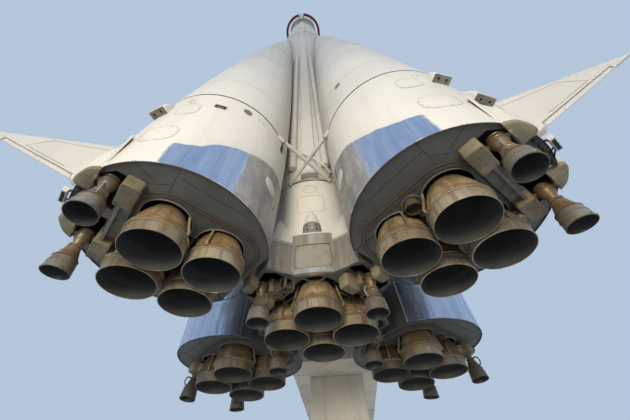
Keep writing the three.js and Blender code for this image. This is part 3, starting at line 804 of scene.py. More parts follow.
def skin_rivet(azimuth, s, radius, proud=0.0, aside=0.0):
    return dome(on_skin(azimuth + aside, s, proud), polar(1, azimuth, 0), radius)


# azimuth, s, half width, half height, corner radius
HATCHES = [(44.5, 0.79, 0.26, 0.23, 0.19), (47, 1.72, 0.19, 0.24, 0.15)]


def hatches():
    piece = Piece(LEANING)
    for azimuth, s, half_width, half_height, corner in HATCHES:
        for side in (1, -1):
            outline = skin_outline(side * azimuth, s, half_width, half_height, corner)
            piece.add(skin_patch(outline, 0.003))
            piece.add(skin_loop(outline, 0.0027, 0.001), 1)
            inside = skin_outline(side * azimuth, s, half_width - 0.03, half_height - 0.03, corner - 0.02)
            for a, h in inside[::2]:
                piece.add(skin_rivet(a, h, 0.007, 0.003), 1)
    for azimuth, s in [(-39, 2.11), (-35, 2.11), (41, 2.1)]:
        piece.add(skin_rivet(azimuth, s, 0.012), 1)
    show_on_boosters("hatches", piece, [cream, seam])


# Patches of finish 2 are near-black: painted shade that stands in for openings in the skin.
# finish, height above the skin, then a hatch's five numbers
SKIN_PATCHES = [
    (2, 0.003, 67, 1.94, 0.096, 0.076, 0.028), (3, 0.008, 67, 1.92, 0.05, 0.022, 0.015),
    (2, 0.004, 127, 2.30, 0.05, 0.13, 0.04), (3, 0.005, 85.5, 2.2, 0.075, 0.085, 0.074),
    (3, 0.005, -90, 3.54, 0.075, 0.085, 0.074), (0, 0.002, 124, 0.9, 0.17, 0.12, 0.118),
    (0, 0.002, -124, 0.9, 0.17, 0.12, 0.118),
]
# finish, wire's radius, height above the skin, then a hatch's five numbers
SKIN_LOOPS = [
    (0, 0.012, 0.002, 67, 1.94, 0.105, 0.085, 0.035), (1, 0.005, 0.003, 85.5, 2.2, 0.075, 0.085, 0.074),
    (1, 0.005, 0.003, -90, 3.54, 0.075, 0.085, 0.074), (1, 0.0028, 0, 98, 2.23, 0.06, 0.05, 0.02),
]


def skin_fittings():
    """A framed port, portholes, a dark opening, round covers, a small outline and a lifting loop on the tail."""
    piece = Piece(LEANING)
    for finish, proud, *outline in SKIN_PATCHES:
        piece.add(skin_patch(skin_outline(*outline), proud), finish)
    for finish, radius, proud, *outline in SKIN_LOOPS:
        piece.add(skin_loop(skin_outline(*outline), radius, proud), finish)
    loop = [(44, 2.0, 0), (44.5, 2.02, 0.04), (46, 2.03, 0.05), (47.5, 2.02, 0.04), (48, 2.0, 0)]
    piece.add(pipe([on_skin(*place) for place in loop], 0.009, 6))
    show_on_boosters("skin_fittings", piece, [cream, seam, dark, lip_grey])


# the riveted edge of a doubler on the steel side, as (azimuth, s) pairs
DOUBLER = [(118, 0.58), (124, 0.61), (131, 0.59), (134.8, 0.60), (135.8, 0.72), (136.1, 0.84)]


def skin_seams():
    piece = Piece(LEANING)
    for side in (1, -1):
        for azimuth, top in [(68.7, 0.5), (84, 0.72), (128, 1.35)]:
            piece.add(skin_line([(side * azimuth, 0.02), (side * azimuth, top)], 0.0022), 1)
        line = [(side * a, s) for a, s in DOUBLER]
        piece.add(skin_line(line, 0.0025), 1)
        for (a0, s0), (a1, s1) in zip(line, line[1:]):
            for share in (0, 0.25, 0.5, 0.75):
                piece.add(skin_rivet(a0 + (a1 - a0) * share, s0 + (s1 - s0) * share + 0.025, 0.007), 1)
        for i in range(16):
            piece.add(skin_rivet(side * 128, 0.12 + i * 0.078, 0.007, aside=1.2), 1)
        for i in range(22):
            piece.add(skin_rivet(side * (150 - 2.3 * i), 1.42 - 0.028 * i, 0.008), 1)
    show_on_boosters("skin_seams", piece, [cream, seam])


# outline of a steering nozzle's pocket in the leaning frame
POCKET = [(0.858, 0.1), (1.138, 0.1), (1.138, 0.59), (1.008, 0.74), (0.858, 0.74)]
POCKET_TOP = 0.42

# joints between the base's plates, in the booster's own x and y
BASE_SEAMS = [
    [(3.115, 1.27), (3.085, 0.78)],
    [(3.09, 1.11), (1.90, 1.11)],
    [(3.11, 0.98), (3.24, 0.86), (3.42, 0.76)],
    [(1.954, 0.972), (2.082, 0.771)],
    [(1.69, 0.58), (1.87, 0.53)],
    [(3.30, 0.88), (3.62, 1.0)],
]


def on_base(x, y, below=0.0):
    """A point of the leaning frame on the base plate's underside."""
    return ((x - BASE_RADIUS) / math.cos(LEAN), y, PLATE - below)


def joint_cut(start, end, width=0.010, depth=0.008):
    """A cutter for a straight joint in the base plate."""
    a, b = (Vector(on_base(x, y)[:2]) for x, y in (start, end))
    past = (b - a).normalized()
    across = past.orthogonal() * width / 2
    past *= 0.004
    outline = [tuple(c) for c in (a - across - past, b - across + past, b + across + past, a + across - past)]
    return prism(outline if area(outline) > 0 else outline[::-1], -0.05, PLATE + depth)


def bell_places():
    """x, y and radius of the base plate's round holes, the middle one last."""
    spread = NOZZLE_OFFSET / math.sqrt(2)
    corners = [(ENGINE_RADIUS + sx * spread, sy * spread, BELL_HOLE) for sx in (1, -1) for sy in (1, -1)]
    return corners + [(ENGINE_RADIUS, 0, CENTRE_HOLE)]


def tail_drum():
    """The tail with its base plate: engine bay, steering pockets, the flat inner side and a groove near the top."""
    r = TAIL_RADIUS
    low, high = GROOVE
    profile = [(0, PLATE), (r - 0.017, PLATE), (r - 0.017, 0.004), (r - 0.008, 0), (r, 0.006)]
    profile += [(r, 0.3 + 0.4 * i) for i in range(6)]
    profile += [(r, low), (r - 0.02, low + 0.005), (r - 0.02, high - 0.005), (r, high)]
    profile += [(r, TAIL_LENGTH), (0, TAIL_LENGTH)]
    x, beyond = FLAT["x"], -r - 0.02
    flat = [(x, -0.06), (x, FLAT["top"]), (beyond, FLAT["run_out"]), (beyond, -0.06)]
    cutters = [side_prism(flat, -0.9, 0.9), prism(rounded(*RECESS.values()), PLATE_TOP, RECESS_DEPTH)]
    for hole_x, hole_y, radius in bell_places():
        cutters.append(moved(drum(radius, 0.38, 0.64, 64, (hole_x, hole_y)), LEANING.inverted()))
    for side in (1, -1):
        cutters.append(prism([(px, py * side) for px, py in POCKET][::side], -0.1, POCKET_TOP))
        for line in BASE_SEAMS:
            line = [(px, py * side) for px, py in line]
            cutters += [joint_cut(a, b) for a, b in zip(line, line[1:])]

    def pick(centre, normal):
        radius = math.hypot(centre.x, centre.y)
        # The flat side that faces the core takes the dark flat steel: painted shade.
        if centre.x < x + 0.004 and normal.x < -0.5:
            return 1
        if radius > r - 0.012 and abs(normal.z) < 0.5:
            return 0
        if radius > r - 0.03 and centre.z > low - 0.01:
            return 4 if centre.z < high + 0.01 else 0
        if radius > r - 0.03 and centre.z < PLATE:
            return 4
        # Faces up inside the bay and the pockets are near-black: painted shade; the plate's underside takes the
        # shade-darkened base grey.
        return 2 if centre.z < PLATE + 0.008 else 3

    piece = Piece(LEANING).add(carved(turned(profile, 144), *cutters), pick=pick)
    for side in (1, -1):
        y = side * math.sqrt(r * r - x * x)
        piece.add(tube([(x, y, 0.012), (x, y, FLAT["top"])], 0.008, 6))
    show_on_boosters("tail_drum", piece, [tail, flat_steel, grey, dark, rusty], "booster_tail", crease=30)


def free_arcs(places, steps=96):
    """Runs of points along each circle that lie outside all the others."""
    for n, (x, y, radius) in enumerate(places):
        others = places[:n] + places[n + 1:]
        points = [point[:2] for point in circle(radius, 0, steps, (x, y))]
        free = [all(math.hypot(px - ox, py - oy) > other for ox, oy, other in others) for px, py in points]
        start = free.index(False)
        run = []
        for i in range(start, start + steps + 1):
            if free[i % steps]:
                run.append(points[i % steps])
            elif run:
                yield run
                run = []


def base_fittings():
    """What is fixed on the base plate: the riveted strip round the bay, the holes' lips and bolts."""
    piece = Piece(LEANING)
    strip = 0.05
    bay = rounded(*RECESS.values(), 10)
    piece.add(prism(grown(bay, strip), PLATE - 0.012, PLATE + 0.002, [bay]), 3)
    for grow in (0.0, strip):
        path = [(x, y, PLATE - 0.011) for x, y in grown(bay, grow)]
        piece.add(tube(path, 0.007, 5, closed=True), 1)
    middle = along(grown(bay, strip / 2), 0.075, closed=True)
    piece.rivets([(x, y, PLATE - 0.012) for x, y in middle], DOWN, 0.009)
    for run in free_arcs(bell_places()):
        if len(run) > 2:
            piece.add(tube([on_base(x, y, 0.004) for x, y in run], 0.011, 6), 2)
    rows = random.Random(5)
    for side in (1, -1):
        for line in BASE_SEAMS:
            spots = along([(x, side * y) for x, y in line], 0.13)
            spots = [on_base(x + rows.uniform(-0.012, 0.012), y + side * 0.032) for x, y in spots]
            piece.rivets(spots, DOWN, 0.009, 0)
        corners = [(x + (0.03 if x > 1 else -0.03), side * (y + 0.03), PLATE) for x, y in POCKET]
        piece.rivets(corners, DOWN, 0.011, 0)
        piece.add(tube([on_base(1.857, -0.637, 0.003), on_base(1.507, -0.635, 0.003)], 0.005, 5), 1)
    turns = [26 + 308 * i / 43 for i in range(44)]
    piece.rivets([polar(1.295, turn, PLATE) for turn in turns if abs(turn - 180) > 34], DOWN, 0.008)
    for radius, low, high in [(0.125, 0.02, 0.06), (0.105, 0.0, 0.02)]:
        piece.add(ring(radius - 0.02, radius, -low, high), 2, shift(on_base(*CUP_PLACE)))
    piece.add(hoop(TAIL_RADIUS - 0.006, 0.002, 0.006, 144), 1)
    show_on_boosters("base_fittings", piece, [grey, rusty, lip_grey, strip_brown])


TANK_BANDS = (3.68, 5.85, 7.6, 9.3, 11.0, 12.6, 14.1, 15.5)


def tank_skin():
    """The long cone: faint weld bands and the ball that the core carries."""
    bottom, top, count = TAIL_LENGTH, TANK[-1][0], 60
    heights = [bottom + (top - bottom) * i / count for i in range(1, count + 1)]
    profile = [(0, bottom + 0.001), (TAIL_RADIUS, bottom + 0.001)] + [(radius_at(s), s) for s in heights]
    profile += [(0.055, 18.73), (0.045, 18.78), (0, BALL_TOP)]
    piece = Piece(LEANING).add(turned(profile, 128))
    for band in TANK_BANDS:
        for s, width, proud, finish in ((band, 0.012, 0.0015, 0), (band - 0.009, 0.004, 0.0012, 1)):
            r = radius_at(s)
            piece.add(ring(r - 0.006, r + proud, s - width / 2, s + width / 2, 128), finish)
    for i, s in enumerate(TANK_BANDS[:5]):
        for azimuth in (40, 160, 280):
            piece.add(skin_line([(azimuth + 25 * i, s), (azimuth + 25 * i, s + 1.7)], 0.0018), 1)
    show_on_boosters("tank_skin", piece, [cream, seam], "booster_tank")


# azimuth and height of the flat lower face
FAIRINGS = [(-26, 1.7), (26, 1.7), (-22, 0.7)]


def skin_fairings():
    """Small wedge fairings: a flat grey lower face with sockets, running out into the skin above."""
    piece = Piece()
    length, half_width, stand = 0.48, 0.15, 0.13
    for azimuth, bottom in FAIRINGS:
        piece.frame = LEANING @ spin(azimuth)
        sections = []
        for share, width, out in [(0, 1, 1), (0.25, 1, 0.97), (0.5, 0.88, 0.75), (0.8, 0.6, 0.32), (1, 0.35, 0)]:
            s = bottom + length * share
            r, w = radius_at(s), half_width * width
            top, edge = r + stand * out, min(0.035, stand * out * 0.5)
            half = [(r - 0.06, w), (top - edge, w), (top, w - edge)]
            sections.append([(x, -y, s) for x, y in half] + [(x, y, s) for x, y in half[::-1]])
        piece.add(loft(sections))
        r, w = radius_at(bottom), half_width - 0.008
        piece.add(box((r - 0.02, -w, bottom - 0.006), (r + stand - 0.008, w, bottom + 0.01)), 1)
        for side in (1, -1):
            at = shift((r + stand * 0.5, side * half_width * 0.45, bottom - 0.006))
            piece.add(ring(0.022, 0.034, -0.010, 0.001, 16), 1, at)
            # A near-black disc in each socket: painted shade.
            piece.add(drum(0.022, -0.003, 0.001, 16), 2, at)
    show_on_boosters("skin_fairings", piece, [cream, lip_grey, dark], bevel=0.003)


# Main engines

BELL_RADIUS = 0.369
BELL = [(0.360, 0.0), (BELL_RADIUS, 0.003), (BELL_RADIUS, HOOP), (0.366, HOOP + 0.03), (0.360, 0.20), (0.350, 0.27),
        (0.330, 0.35), (0.303, 0.43), (0.262, 0.52), (0.217, 0.61), (0.165, 0.69), (0.118, 0.755), (0.112, 0.78),
        (0.135, 0.83), (0.165, 0.90), (0.165, 1.2), (0, 1.2)]
BELL_HOOPS = [(HOOP, 0.013, 5), (HOOP + 0.019, 0.007, 2), (HOOP + 0.036, 0.013, 0)]  # height, thickness, finish
DRAIN_PIPE = [(0.300, 0, 0.62), (0.328, 0, 0.50), (0.356, 0, 0.38), (0.388, 0, 0.27), (0.404, 0, 0.225),
              (0.402, 0, 0.196), (0.382, 0, 0.180)]
CHAMBER_PIPE = [(0.13, 0, 0.63), (0.24, 0, 0.63), (0.31, 0, 0.70), (0.33, 0, 0.78), (0.31, 0, 0.90)]
TURBINE_PIPE = [(0.05, 0, 0.5), (0.18, 0.03, 0.42), (0.31, 0.04, 0.52), (0.36, 0.10, 0.9)]
# the small exhaust cup beside the bells
CUP = [(0.099, 0.0), (0.105, 0.002), (0.103, 0.06), (0.09, 0.13), (0.07, 0.19), (0.06, 0.25), (0.06, 0.6),
       (0.05, 0.6), (0.05, 0.25), (0.062, 0.18), (0.082, 0.13), (0.096, 0.06)]


def add_bell(piece, matrix, outwards):
    """One nozzle whose exit is at z = 0, with its drain pipes either side of the outward direction."""
    sides, inner = 72, BELL_RADIUS - 0.010
    inside = [(0, 0.80)] + [(r - 0.010, z) for r, z in BELL[-5:2:-1]] + [(inner, HOOP), (inner, 0.0005)]
    piece.add(turned(BELL, sides), 0, matrix)
    piece.add(turned(inside, sides), 1, matrix)
    for height, fat, finish in BELL_HOOPS:
        piece.add(hoop(BELL_RADIUS + 0.005, height, fat, sides), finish, matrix)
    piece.add(hoop(BELL_RADIUS - 0.0035, 0.004, 0.0065, sides), 0, matrix)
    for turn in (-87, 87):
        at = matrix @ spin(outwards + turn)
        piece.add(pipe(DRAIN_PIPE, 0.018, 10), 5, at)
        piece.add(dome((0.384, 0, 0.176), (1, 0, 0), 0.024), 2, at)
    for turn in (12, 130, -105):
        way = polar(1, outwards + turn, 0)
        piece.add(dome((BELL_RADIUS * way[0], BELL_RADIUS * way[1], 0.022), way, 0.008), 2, matrix)


def add_engine_parts(piece, matrix):
    """What shows between the bells: the thrust block, the turbopump and pipes that stay clear of the bells."""
    # The thrust block and the turbopump are near-black: painted shade up inside the bay.
    piece.add(box((-0.62, -0.62, 0.86), (0.62, 0.62, 0.94)), 4, matrix)
    piece.add(turned([(0, 0.42), (0.10, 0.42), (0.14, 0.5), (0.14, 0.86), (0, 0.86)], 24), 4, matrix)
    for turn in (0, 90, 180, 270):
        piece.add(pipe(CHAMBER_PIPE, 0.035, 10), 3, matrix @ spin(turn + 45))
        piece.add(pipe(TURBINE_PIPE, 0.02), 3, matrix @ spin(turn))


ENGINE_FINISHES = [bell_metal, soot_and_painted_shade, rusty, steering_metal, dark, bracket]


def booster_engines():
    piece = Piece()
    for x, y, _ in bell_places()[:4]:
        add_bell(piece, shift((x, y, 0)), math.degrees(math.atan2(y, x - ENGINE_RADIUS)))
    add_engine_parts(piece, shift((ENGINE_RADIUS, 0, 0)))
    piece.add(turned(CUP, 36, closed=True), 3, shift((*CUP_PLACE, 0.36)))
    # A disc of the nozzle-inside finish closes the cup: painted shade.
    piece.add(drum(0.052, 0.62, 0.66, 20, CUP_PLACE), 1)
    show_on_boosters("engine", piece, ENGINE_FINISHES, "booster_engine")


def core_engines():
    piece = Piece()
    for turn in (0, 90, 180, 270):
        add_bell(piece, shift(polar(CORE_NOZZLE_OFFSET, turn, -CORE_NOZZLE_DROP)), turn)
    add_engine_parts(piece, spin(45))
    show("core_bells", piece, ENGINE_FINISHES, replaces=["core_engine"])


# Steering nozzles, hanging from a pivot at the origin

STEERING_CONE = [(0.160, STEERING_EXIT), (0.167, -0.578), (0.164, -0.545), (0.155, -0.47), (0.145, -0.40),
                 (0.143, -0.388), (0.138, -0.384), (0.121, -0.34), (0.101, -0.285), (0.082, -0.235),
                 (0.072, -0.212)]
STEERING_INSIDE = [(0, -0.25), (0.05, -0.27), (0.098, -0.36), (0.131, -0.44), (0.150, -0.52),
                   (0.160, STEERING_EXIT)]
STEERING_THROAT = [(0, -0.215), (0.070, -0.212), (0.082, -0.205), (0.082, -0.182), (0.062, -0.176), (0.052, -0.165),
                   (0.055, -0.15), (0.08, -0.10)]
STEERING_LOOP = [(0.07, 0, -0.190), (0.120, 0, -0.188), (0.160, 0, -0.215), (0.176, 0, -0.270), (0.166, 0, -0.325),
                 (0.128, 0, -0.352)]


def steering_nozzle(ball, trunnion, loops):
    """A steering nozzle; ball is its head's radius, trunnion half the length of its shaft."""
    piece = Piece()
    head = [(ball * 0.97, -0.055), (ball * 0.97, 0.05), (ball * 0.8, 0.072), (ball * 0.4, 0.082), (0, 0.085)]
    piece.add(turned(STEERING_CONE, 48))
    piece.add(turned(STEERING_INSIDE, 48), 1)
    piece.add(turned(STEERING_THROAT + head, 36))
    for radius, height, fat, finish in [(0.146, STEERING_HOOP, 0.006, 2), (0.156, -0.47, 0.004, 0),
                                        (0.165, -0.575, 0.004, 2), (ball * 0.96, -0.03, 0.008, 0),
                                        (ball * 0.96, 0.03, 0.008, 0), (0.085, -0.245, 0.006, 3)]:
        piece.add(hoop(radius, height, fat, 40), finish)
    for turn in loops:
        piece.add(pipe(STEERING_LOOP, 0.0155), 4, spin(turn))
    for i in range(10):
        piece.add(dome(polar(0.070, 36 * i, -0.182), UP, 0.007), 2)
        if i % 3 == 0:
            piece.add(dome(polar(0.164, 36 * i, -0.555), polar(1, 36 * i, 0), 0.008, 0.012), 2)
    return piece.add(tube([(-trunnion, 0, 0), (trunnion, 0, 0)], 0.034, 16))


def steering_nozzles():
    finishes = [steering_metal, steering_inside, rusty, bell_metal, bracket]
    x, y, z = PIVOT
    for name in AZIMUTHS:
        for number, side in ((1, 1), (2, -1)):
            piece = steering_nozzle(0.105, 0.129, (90 * side,))
            hang = shift((x, side * y, z)) @ spin(side * PIVOT_CANT, "X")
            show(f"steering_{name}_{number}", piece, finishes, booster_matrix(name) @ hang,
                 [f"steering_nozzle_{name}_{number}"], f"steering_{name}_{number}")
        piece = steering_nozzle(0.085, 0.098, (90, 270))
        show(f"core_steering_{name}", piece, finishes, booster_matrix(name) @ shift(CORE_PIVOT),
             [f"core_steering_nozzle_{name}"], f"core_steering_{name}")


def steering_brackets():
    """Beige boxes that carry the pivots, a beam between them, a round boss and a hooked pipe."""
    piece = Piece()
    for side in (1, -1):
        box_outline = rounded(0, 0.112, 0.20, 0.03, 3)
        sections = [[(3.4475 + x, side * 0.59 + y, z) for x, y in grown(box_outline, grow)]
                    for z, grow in [(0.385, -0.012), (0.397, 0.0), (0.66, 0.0)]]
        piece.add(loft(sections))
        below = [(3.37, 0.43), (3.52, 0.43), (3.37, 0.75), (3.52, 0.75), (3.445, 0.52), (3.445, 0.66)]
        piece.rivets([(x, side * y, 0.387) for x, y in below], DOWN, 0.011)
        back = [(3.336, side * y, z) for y in (0.44, 0.55, 0.66, 0.75) for z in (0.43, 0.56)]
        piece.rivets(back, (-1, 0, 0), 0.010)
        piece.add(ring(0.04, 0.08, 0, 0.012), 1, shift((3.556, side * PIVOT[1], PIVOT[2])) @ spin(90, "Y"))
    piece.add(side_prism([(3.335, 0.50), (3.50, 0.50), (3.50, 0.535), (3.335, 0.535)], -0.385, 0.385), 2)
    piece.add(box((3.46, -0.385, 0.43), (3.50, 0.385, 0.50)), 2)
    boss = [(0, -0.085), (0.06, -0.085), (0.078, -0.06), (0.082, 0.03), (0, 0.03)]
    piece.add(turned(boss, 28), 0, shift((3.275, 0.60, 0.45)))
    piece.add(hoop(0.082, -0.02, 0.006, 28), 1, shift((3.275, 0.60, 0.45)))
    hook = [(3.29, 0.52, 0.40), (3.25, 0.46, 0.36), (3.22, 0.40, 0.37), (3.21, 0.36, 0.42), (3.22, 0.33, 0.52)]
    piece.add(pipe(hook, 0.016), 2)
    show_on_boosters("steering_brackets", piece, [bracket, rusty, lip_grey], handed=True, bevel=0.004)


def outer_fairings():
    """Rounded aprons that hang from the skin outboard of the steering nozzles, with a bearing lug and a handle."""
    piece = Piece()
    inner, outer, near, wide, steps = 3.822, 4.0, 0.30, 0.40, 16
    lean_slope = 0.0655
    fade_start, fade_length = 0.75, 0.60
    levels = [(0.50, 0.03), (0.515, 0.008)] + [(z, 0) for z in (0.56, 0.66, 0.75, 0.88, 1.0, 1.12, 1.24, 1.35)]

    # The foot and the faces turned down or in take the darker bracket finish: painted shade under the apron.
    def pick(centre, normal):
        return 1 if centre.z < 0.6 or normal.z < -0.3 or normal.x < -0.5 else 0

    for side in (1, -1):
        sections = []
        for z, shrink in levels:
            share = min(1.0, max(0.0, (z - fade_start) / fade_length))
            axis = BASE_RADIUS - (z - BASE_HEIGHT) * lean_slope
            stand = (outer - axis - math.sqrt(TAIL_RADIUS ** 2 - 0.25)) * (1 - share * share * (3 - 2 * share))
            outline = []
            for t in (i / steps for i in range(steps + 1)):
                skin = axis + math.sqrt(TAIL_RADIUS ** 2 - (near + wide * t) ** 2)
                out = max(skin + stand * (1 - abs(2 * t - 1) ** 6) + 0.002, inner + 0.03) - shrink
                outline.append((out, side * (near + shrink + (wide - 2 * shrink) * t), z))
            back = [(inner, side * (near + wide - shrink), z), (inner, side * (near + shrink), z)]
            sections.append((outline + back)[::side])
        piece.add(loft(sections), pick=pick)
        piece.add(ring(0.04, 0.066, 0, 0.03), 1, shift((inner - 0.001, side * PIVOT[1], PIVOT[2])) @ spin(90, "Y"))
        handle = [(3.84, 0.36, 0.50), (3.835, 0.38, 0.455), (3.835, 0.52, 0.445), (3.84, 0.56, 0.50)]
        piece.add(pipe([(x, side * y, z) for x, y, z in handle], 0.010, 6), 1)
    show_on_boosters("outer_fairings", piece, [cream, bracket], crease=40)


def rim_mechanism():
    """A white box on dark lattice arms at the rim, between the two outer fairings."""
    piece = Piece()
    piece.add(box((4.045, -0.11, 0.525), (4.105, 0.11, 0.60)))
    piece.add(box((4.056, -0.09, 0.520), (4.094, 0.09, 0.530)), 1)
    for y in (-0.16, 0.17):
        high, low = (3.93, y, 0.60), (3.93, y * 1.5, 0.53)
        for start, end, radius in [(high, (4.06, y * 0.4, 0.58), 0.012), (low, (4.06, y * 0.4, 0.56), 0.010),
                                   (high, low, 0.010)]:
            piece.add(tube([start, end], radius, 6), 1)
    piece.add(tube([(3.955, -0.29, 0.53), (3.955, 0.29, 0.53)], 0.016, 8), 1)
    for y in (-0.22, -0.11, 0.0, 0.11, 0.22):
        piece.add(tube([(3.93, y, 0.53), (3.975, y, 0.53)], 0.028, 10), 1)
    show_on_boosters("rim_mechanism", piece, [cream, dark], bevel=0.003)


# Fins and rudders, as (x, z) points in the booster's own frame

FIN_TIP = (5.15, 0.955)
TRAILING_ROOT = (4.168, 0.822)
FIN_CUT = ((4.168, 0.9), (4.972, 0.991))
FIN_PANEL = [(4.30, 0.955), (4.765, 1.005), (4.62, 1.29), (4.40, 1.405), (4.08, 1.60), (4.02, 1.45), (4.12, 1.1)]
FIN_LOBE = [(4.03, 0.79), (4.09, 0.775), (4.14, 0.79), (4.163, 0.825), (4.162, 0.895), (4.10, 0.95), (4.03, 0.95)]
FIN_START = 3.94
RUDDER = (4.18, 4.96)
RUDDER_GAP = 0.015
HINGE_DEPTH = 0.012


def leant(x, s):
    point = LEANING @ Vector((x, 0, s))
    return point.x, point.z


def height_on(line, x):
    (x0, z0), (x1, z1) = line
    return z0 + (x - x0) / (x1 - x0) * (z1 - z0)


def trailing(x):
    return height_on((TRAILING_ROOT, FIN_TIP), x)


def half_thickness(x):
    return 0.030 - 0.020 * (x - FIN_START) / (FIN_TIP[0] - FIN_START)


def fin_sheet(outline, extra=0.0):
    """A plate whose faces follow the fin's taper, with extra added to each half thickness."""
    near, far = ([(x, side * (half_thickness(x) + extra), z) for x, z in outline] for side in (-1, 1))
    return loft([near, far] if area(outline) > 0 else [far, near])


def fins():
    skin = TAIL_RADIUS + 0.001
    cut_end = FIN_CUT[1][0]
    outline = [leant(skin, 0.205), TRAILING_ROOT, *FIN_CUT, (cut_end, trailing(cut_end)), FIN_TIP, leant(skin, 1.25)]
    piece = Piece().add(fin_sheet(outline))
    root = [leant(skin, 0.215), leant(skin + 0.055, 0.215), leant(skin + 0.05, 1.14), leant(skin, 1.235)]
    piece.add(side_prism(root, -0.055, 0.055))
    piece.add(fin_sheet(FIN_PANEL, 0.0012))
    for side in (1, -1):
        for line, radius in ((FIN_PANEL[:5], 0.003), ([leant(skin + 0.10, s) for s in (1.16, 0.8)], 0.0028)):
            piece.add(tube([(x, side * (half_thickness(x) + 0.0008), z) for x, z in line], radius, 5), 1)
    middle = Vector((4.095, 0.87))
    sections = []
    for y, shrink in [(-0.062, 0.03), (-0.045, 0.008), (0, 0), (0.045, 0.008), (0.062, 0.03)]:
        lobe = [Vector(p) + (middle - Vector(p)).normalized() * shrink for p in FIN_LOBE]
        sections.append([(p.x, y, p.y) for p in lobe][::-1])
    piece.add(loft(sections))
    show_on_boosters("fin", piece, [cream, seam], "fin", bevel=0.004)


def rudders():
    def top(x):
        return height_on(FIN_CUT, x) - RUDDER_GAP

    def hinge(start, end, radius):
        return tube([(x, 0, top(x) - HINGE_DEPTH) for x in (start, end)], radius, 8)

    low, high = RUDDER
    outline = [(low, trailing(low)), (high, trailing(high)), (high, top(high)), (low, top(low))]
    sheet = [[(x, side * (0.011 if z > trailing(x) + 0.01 else 0.005), z) for x, z in outline] for side in (-1, 1)]
    piece = Piece().add(loft(sheet))
    piece.add(hinge(FIN_CUT[0][0] + 0.0016, FIN_CUT[1][0] - 0.0016, 0.008), 1)
    for i in range(6):
        x = low + 0.06 + (high - low - 0.12) * i / 5
        piece.add(hinge(x - 0.03, x + 0.03, 0.0125))
    for name in AZIMUTHS:
        show(f"rudder_flap_{name}", piece, [cream, seam], booster_matrix(name), [f"rudder_{name}"],
             f"rudder_body_{name}", bevel=0.002)


# Core

def on_core(azimuth, z, proud=0.0):
    """A point on the core's tail; azimuth in degrees from the front, towards +x."""
    across, ahead = polar(CORE_RADIUS + proud, azimuth)[::-1]
    return (across, -ahead, z)


def core_radius(z):
    for (z0, r0), (z1, r1) in zip(CORE, CORE[1:]):
        if z <= z1:
            return r0 + (r1 - r0) * (max(z, z0) - z0) / (z1 - z0)
    return CORE[-1][1]


def bell_wells():
    """Cutters for the wells round the core's bells and the square bay between them."""
    wells = [drum(WELL_RADIUS, 0.3, 1.1, 64, polar(CORE_NOZZLE_OFFSET, turn)) for turn in (0, 90, 180, 270)]
    return wells + [box((-0.56, -0.56, 0.3), (0.56, 0.56, 1.2))]


def core_drum():
    """The core's tail: a drum with the engine bay in its base and hatch outlines on its skin."""
    r, top = CORE_RADIUS, CORE_TAIL_TOP
    profile = [(0, CORE_BASE), (r, CORE_BASE), (r, 1.0), (r, 2.0), (r, 2.90), (r - 0.03, 2.905), (r - 0.03, 2.933),
               (r, 2.938), (r, top), (0, top)]
    cutters = bell_wells() + [moved(box((0.88, -0.385, 0.3), (1.4, 0.385, 0.9)), spin(turn)) for turn in POD_TURNS]

    def pick(centre, normal):
        radius = math.hypot(centre.x, centre.y)
        if radius > r - 0.006 and abs(normal.z) < 0.5:
            return 0
        if radius > r - 0.04 and 2.89 < centre.z < 2.95:
            return 3
        if centre.z < CORE_BASE + 0.005:
            return 2
        # Faces inside the wells and the bay are near-black: painted shade.
        return 0 if centre.z > 2.5 else 3

    piece = Piece().add(carved(turned(profile, 128), *cutters), pick=pick)
    piece.add(tube([on_core(a, 2.974) for a in range(0, 360, 4)], 0.003, 5, closed=True), 1)
    wide = math.degrees(1 / CORE_RADIUS)
    for turn in (0, 90, 180, 270):
        for z, half_width, half_height, corner in [(2.60, 0.14, 0.13, 0.125), (2.13, 0.27, 0.24, 0.09)]:
            outline = along(rounded(0, half_width, half_height, corner, 6), 0.03, closed=True)
            path = [on_core(turn + x * wide, z + y, 0.0005) for x, y in outline]
            piece.add(tube(path, 0.003, 5, closed=True), 1)
        piece.frame = spin(turn)
        add_half_cone(piece)
        piece.frame = Matrix()
    show("core_tail_drum", piece, [cream, seam, grey, dark, lip_grey, bright_steel], replaces=["core_tail"])


def add_half_cone(piece):
    """The pointed fairing in the middle of a side, with a slanted grey face and four sockets."""
    skin = -CORE_RADIUS
    turns = [math.pi * i / 14 for i in range(15)]
    sections = []
    for share in (0, 0.12, 0.3, 0.5, 0.7, 0.87, 0.97, 1.0):
        z = 1.51 + 0.35 * share
        half = 0.155 * math.sqrt(1 - share) * (1 + 0.12 * share) + 0.004
        out = 0.10 * math.sqrt(1 - share) + 0.002
        sections.append([(-half * math.cos(t), skin + 0.03 - (out + 0.03) * math.sin(t), z) for t in turns])
    foot = [(-0.18 * math.cos(t), skin + 0.03 - 0.034 * math.sin(t) ** 0.5, 1.325) for t in turns]
    piece.add(loft([foot, sections[0]]), 4)
    piece.add(loft(sections))
    piece.add(tube([(x, y - 0.002, z) for x, y, z in sections[0]], 0.006, 6))
    slope = Vector((0, -0.18, -0.10)).normalized()
    for side in (-0.085, 0.085):
        for share in (0.28, 0.68):
            place = (side * (1.05 - 0.12 * share), skin - 0.01 - 0.094 * share, 1.33 + 0.18 * share)
            spot = shift(place) @ UP.rotation_difference(slope).to_matrix().to_4x4()
            # A near-black disc in each socket: painted shade.
            piece.add(drum(0.017, -0.004, 0.004, 16), 3, spot)
            piece.add(ring(0.017, 0.023, 0, 0.004), 4, spot)
    piece.add(dome((0.01, skin - 0.05, 1.40), slope, 0.014), 5)
    lip = [(-0.325, 1.29), (-0.19, 1.305), (0, 1.31), (0.19, 1.305), (0.325, 1.29)]
    piece.add(pipe([(x, skin - 0.004, z) for x, z in lip], 0.016))


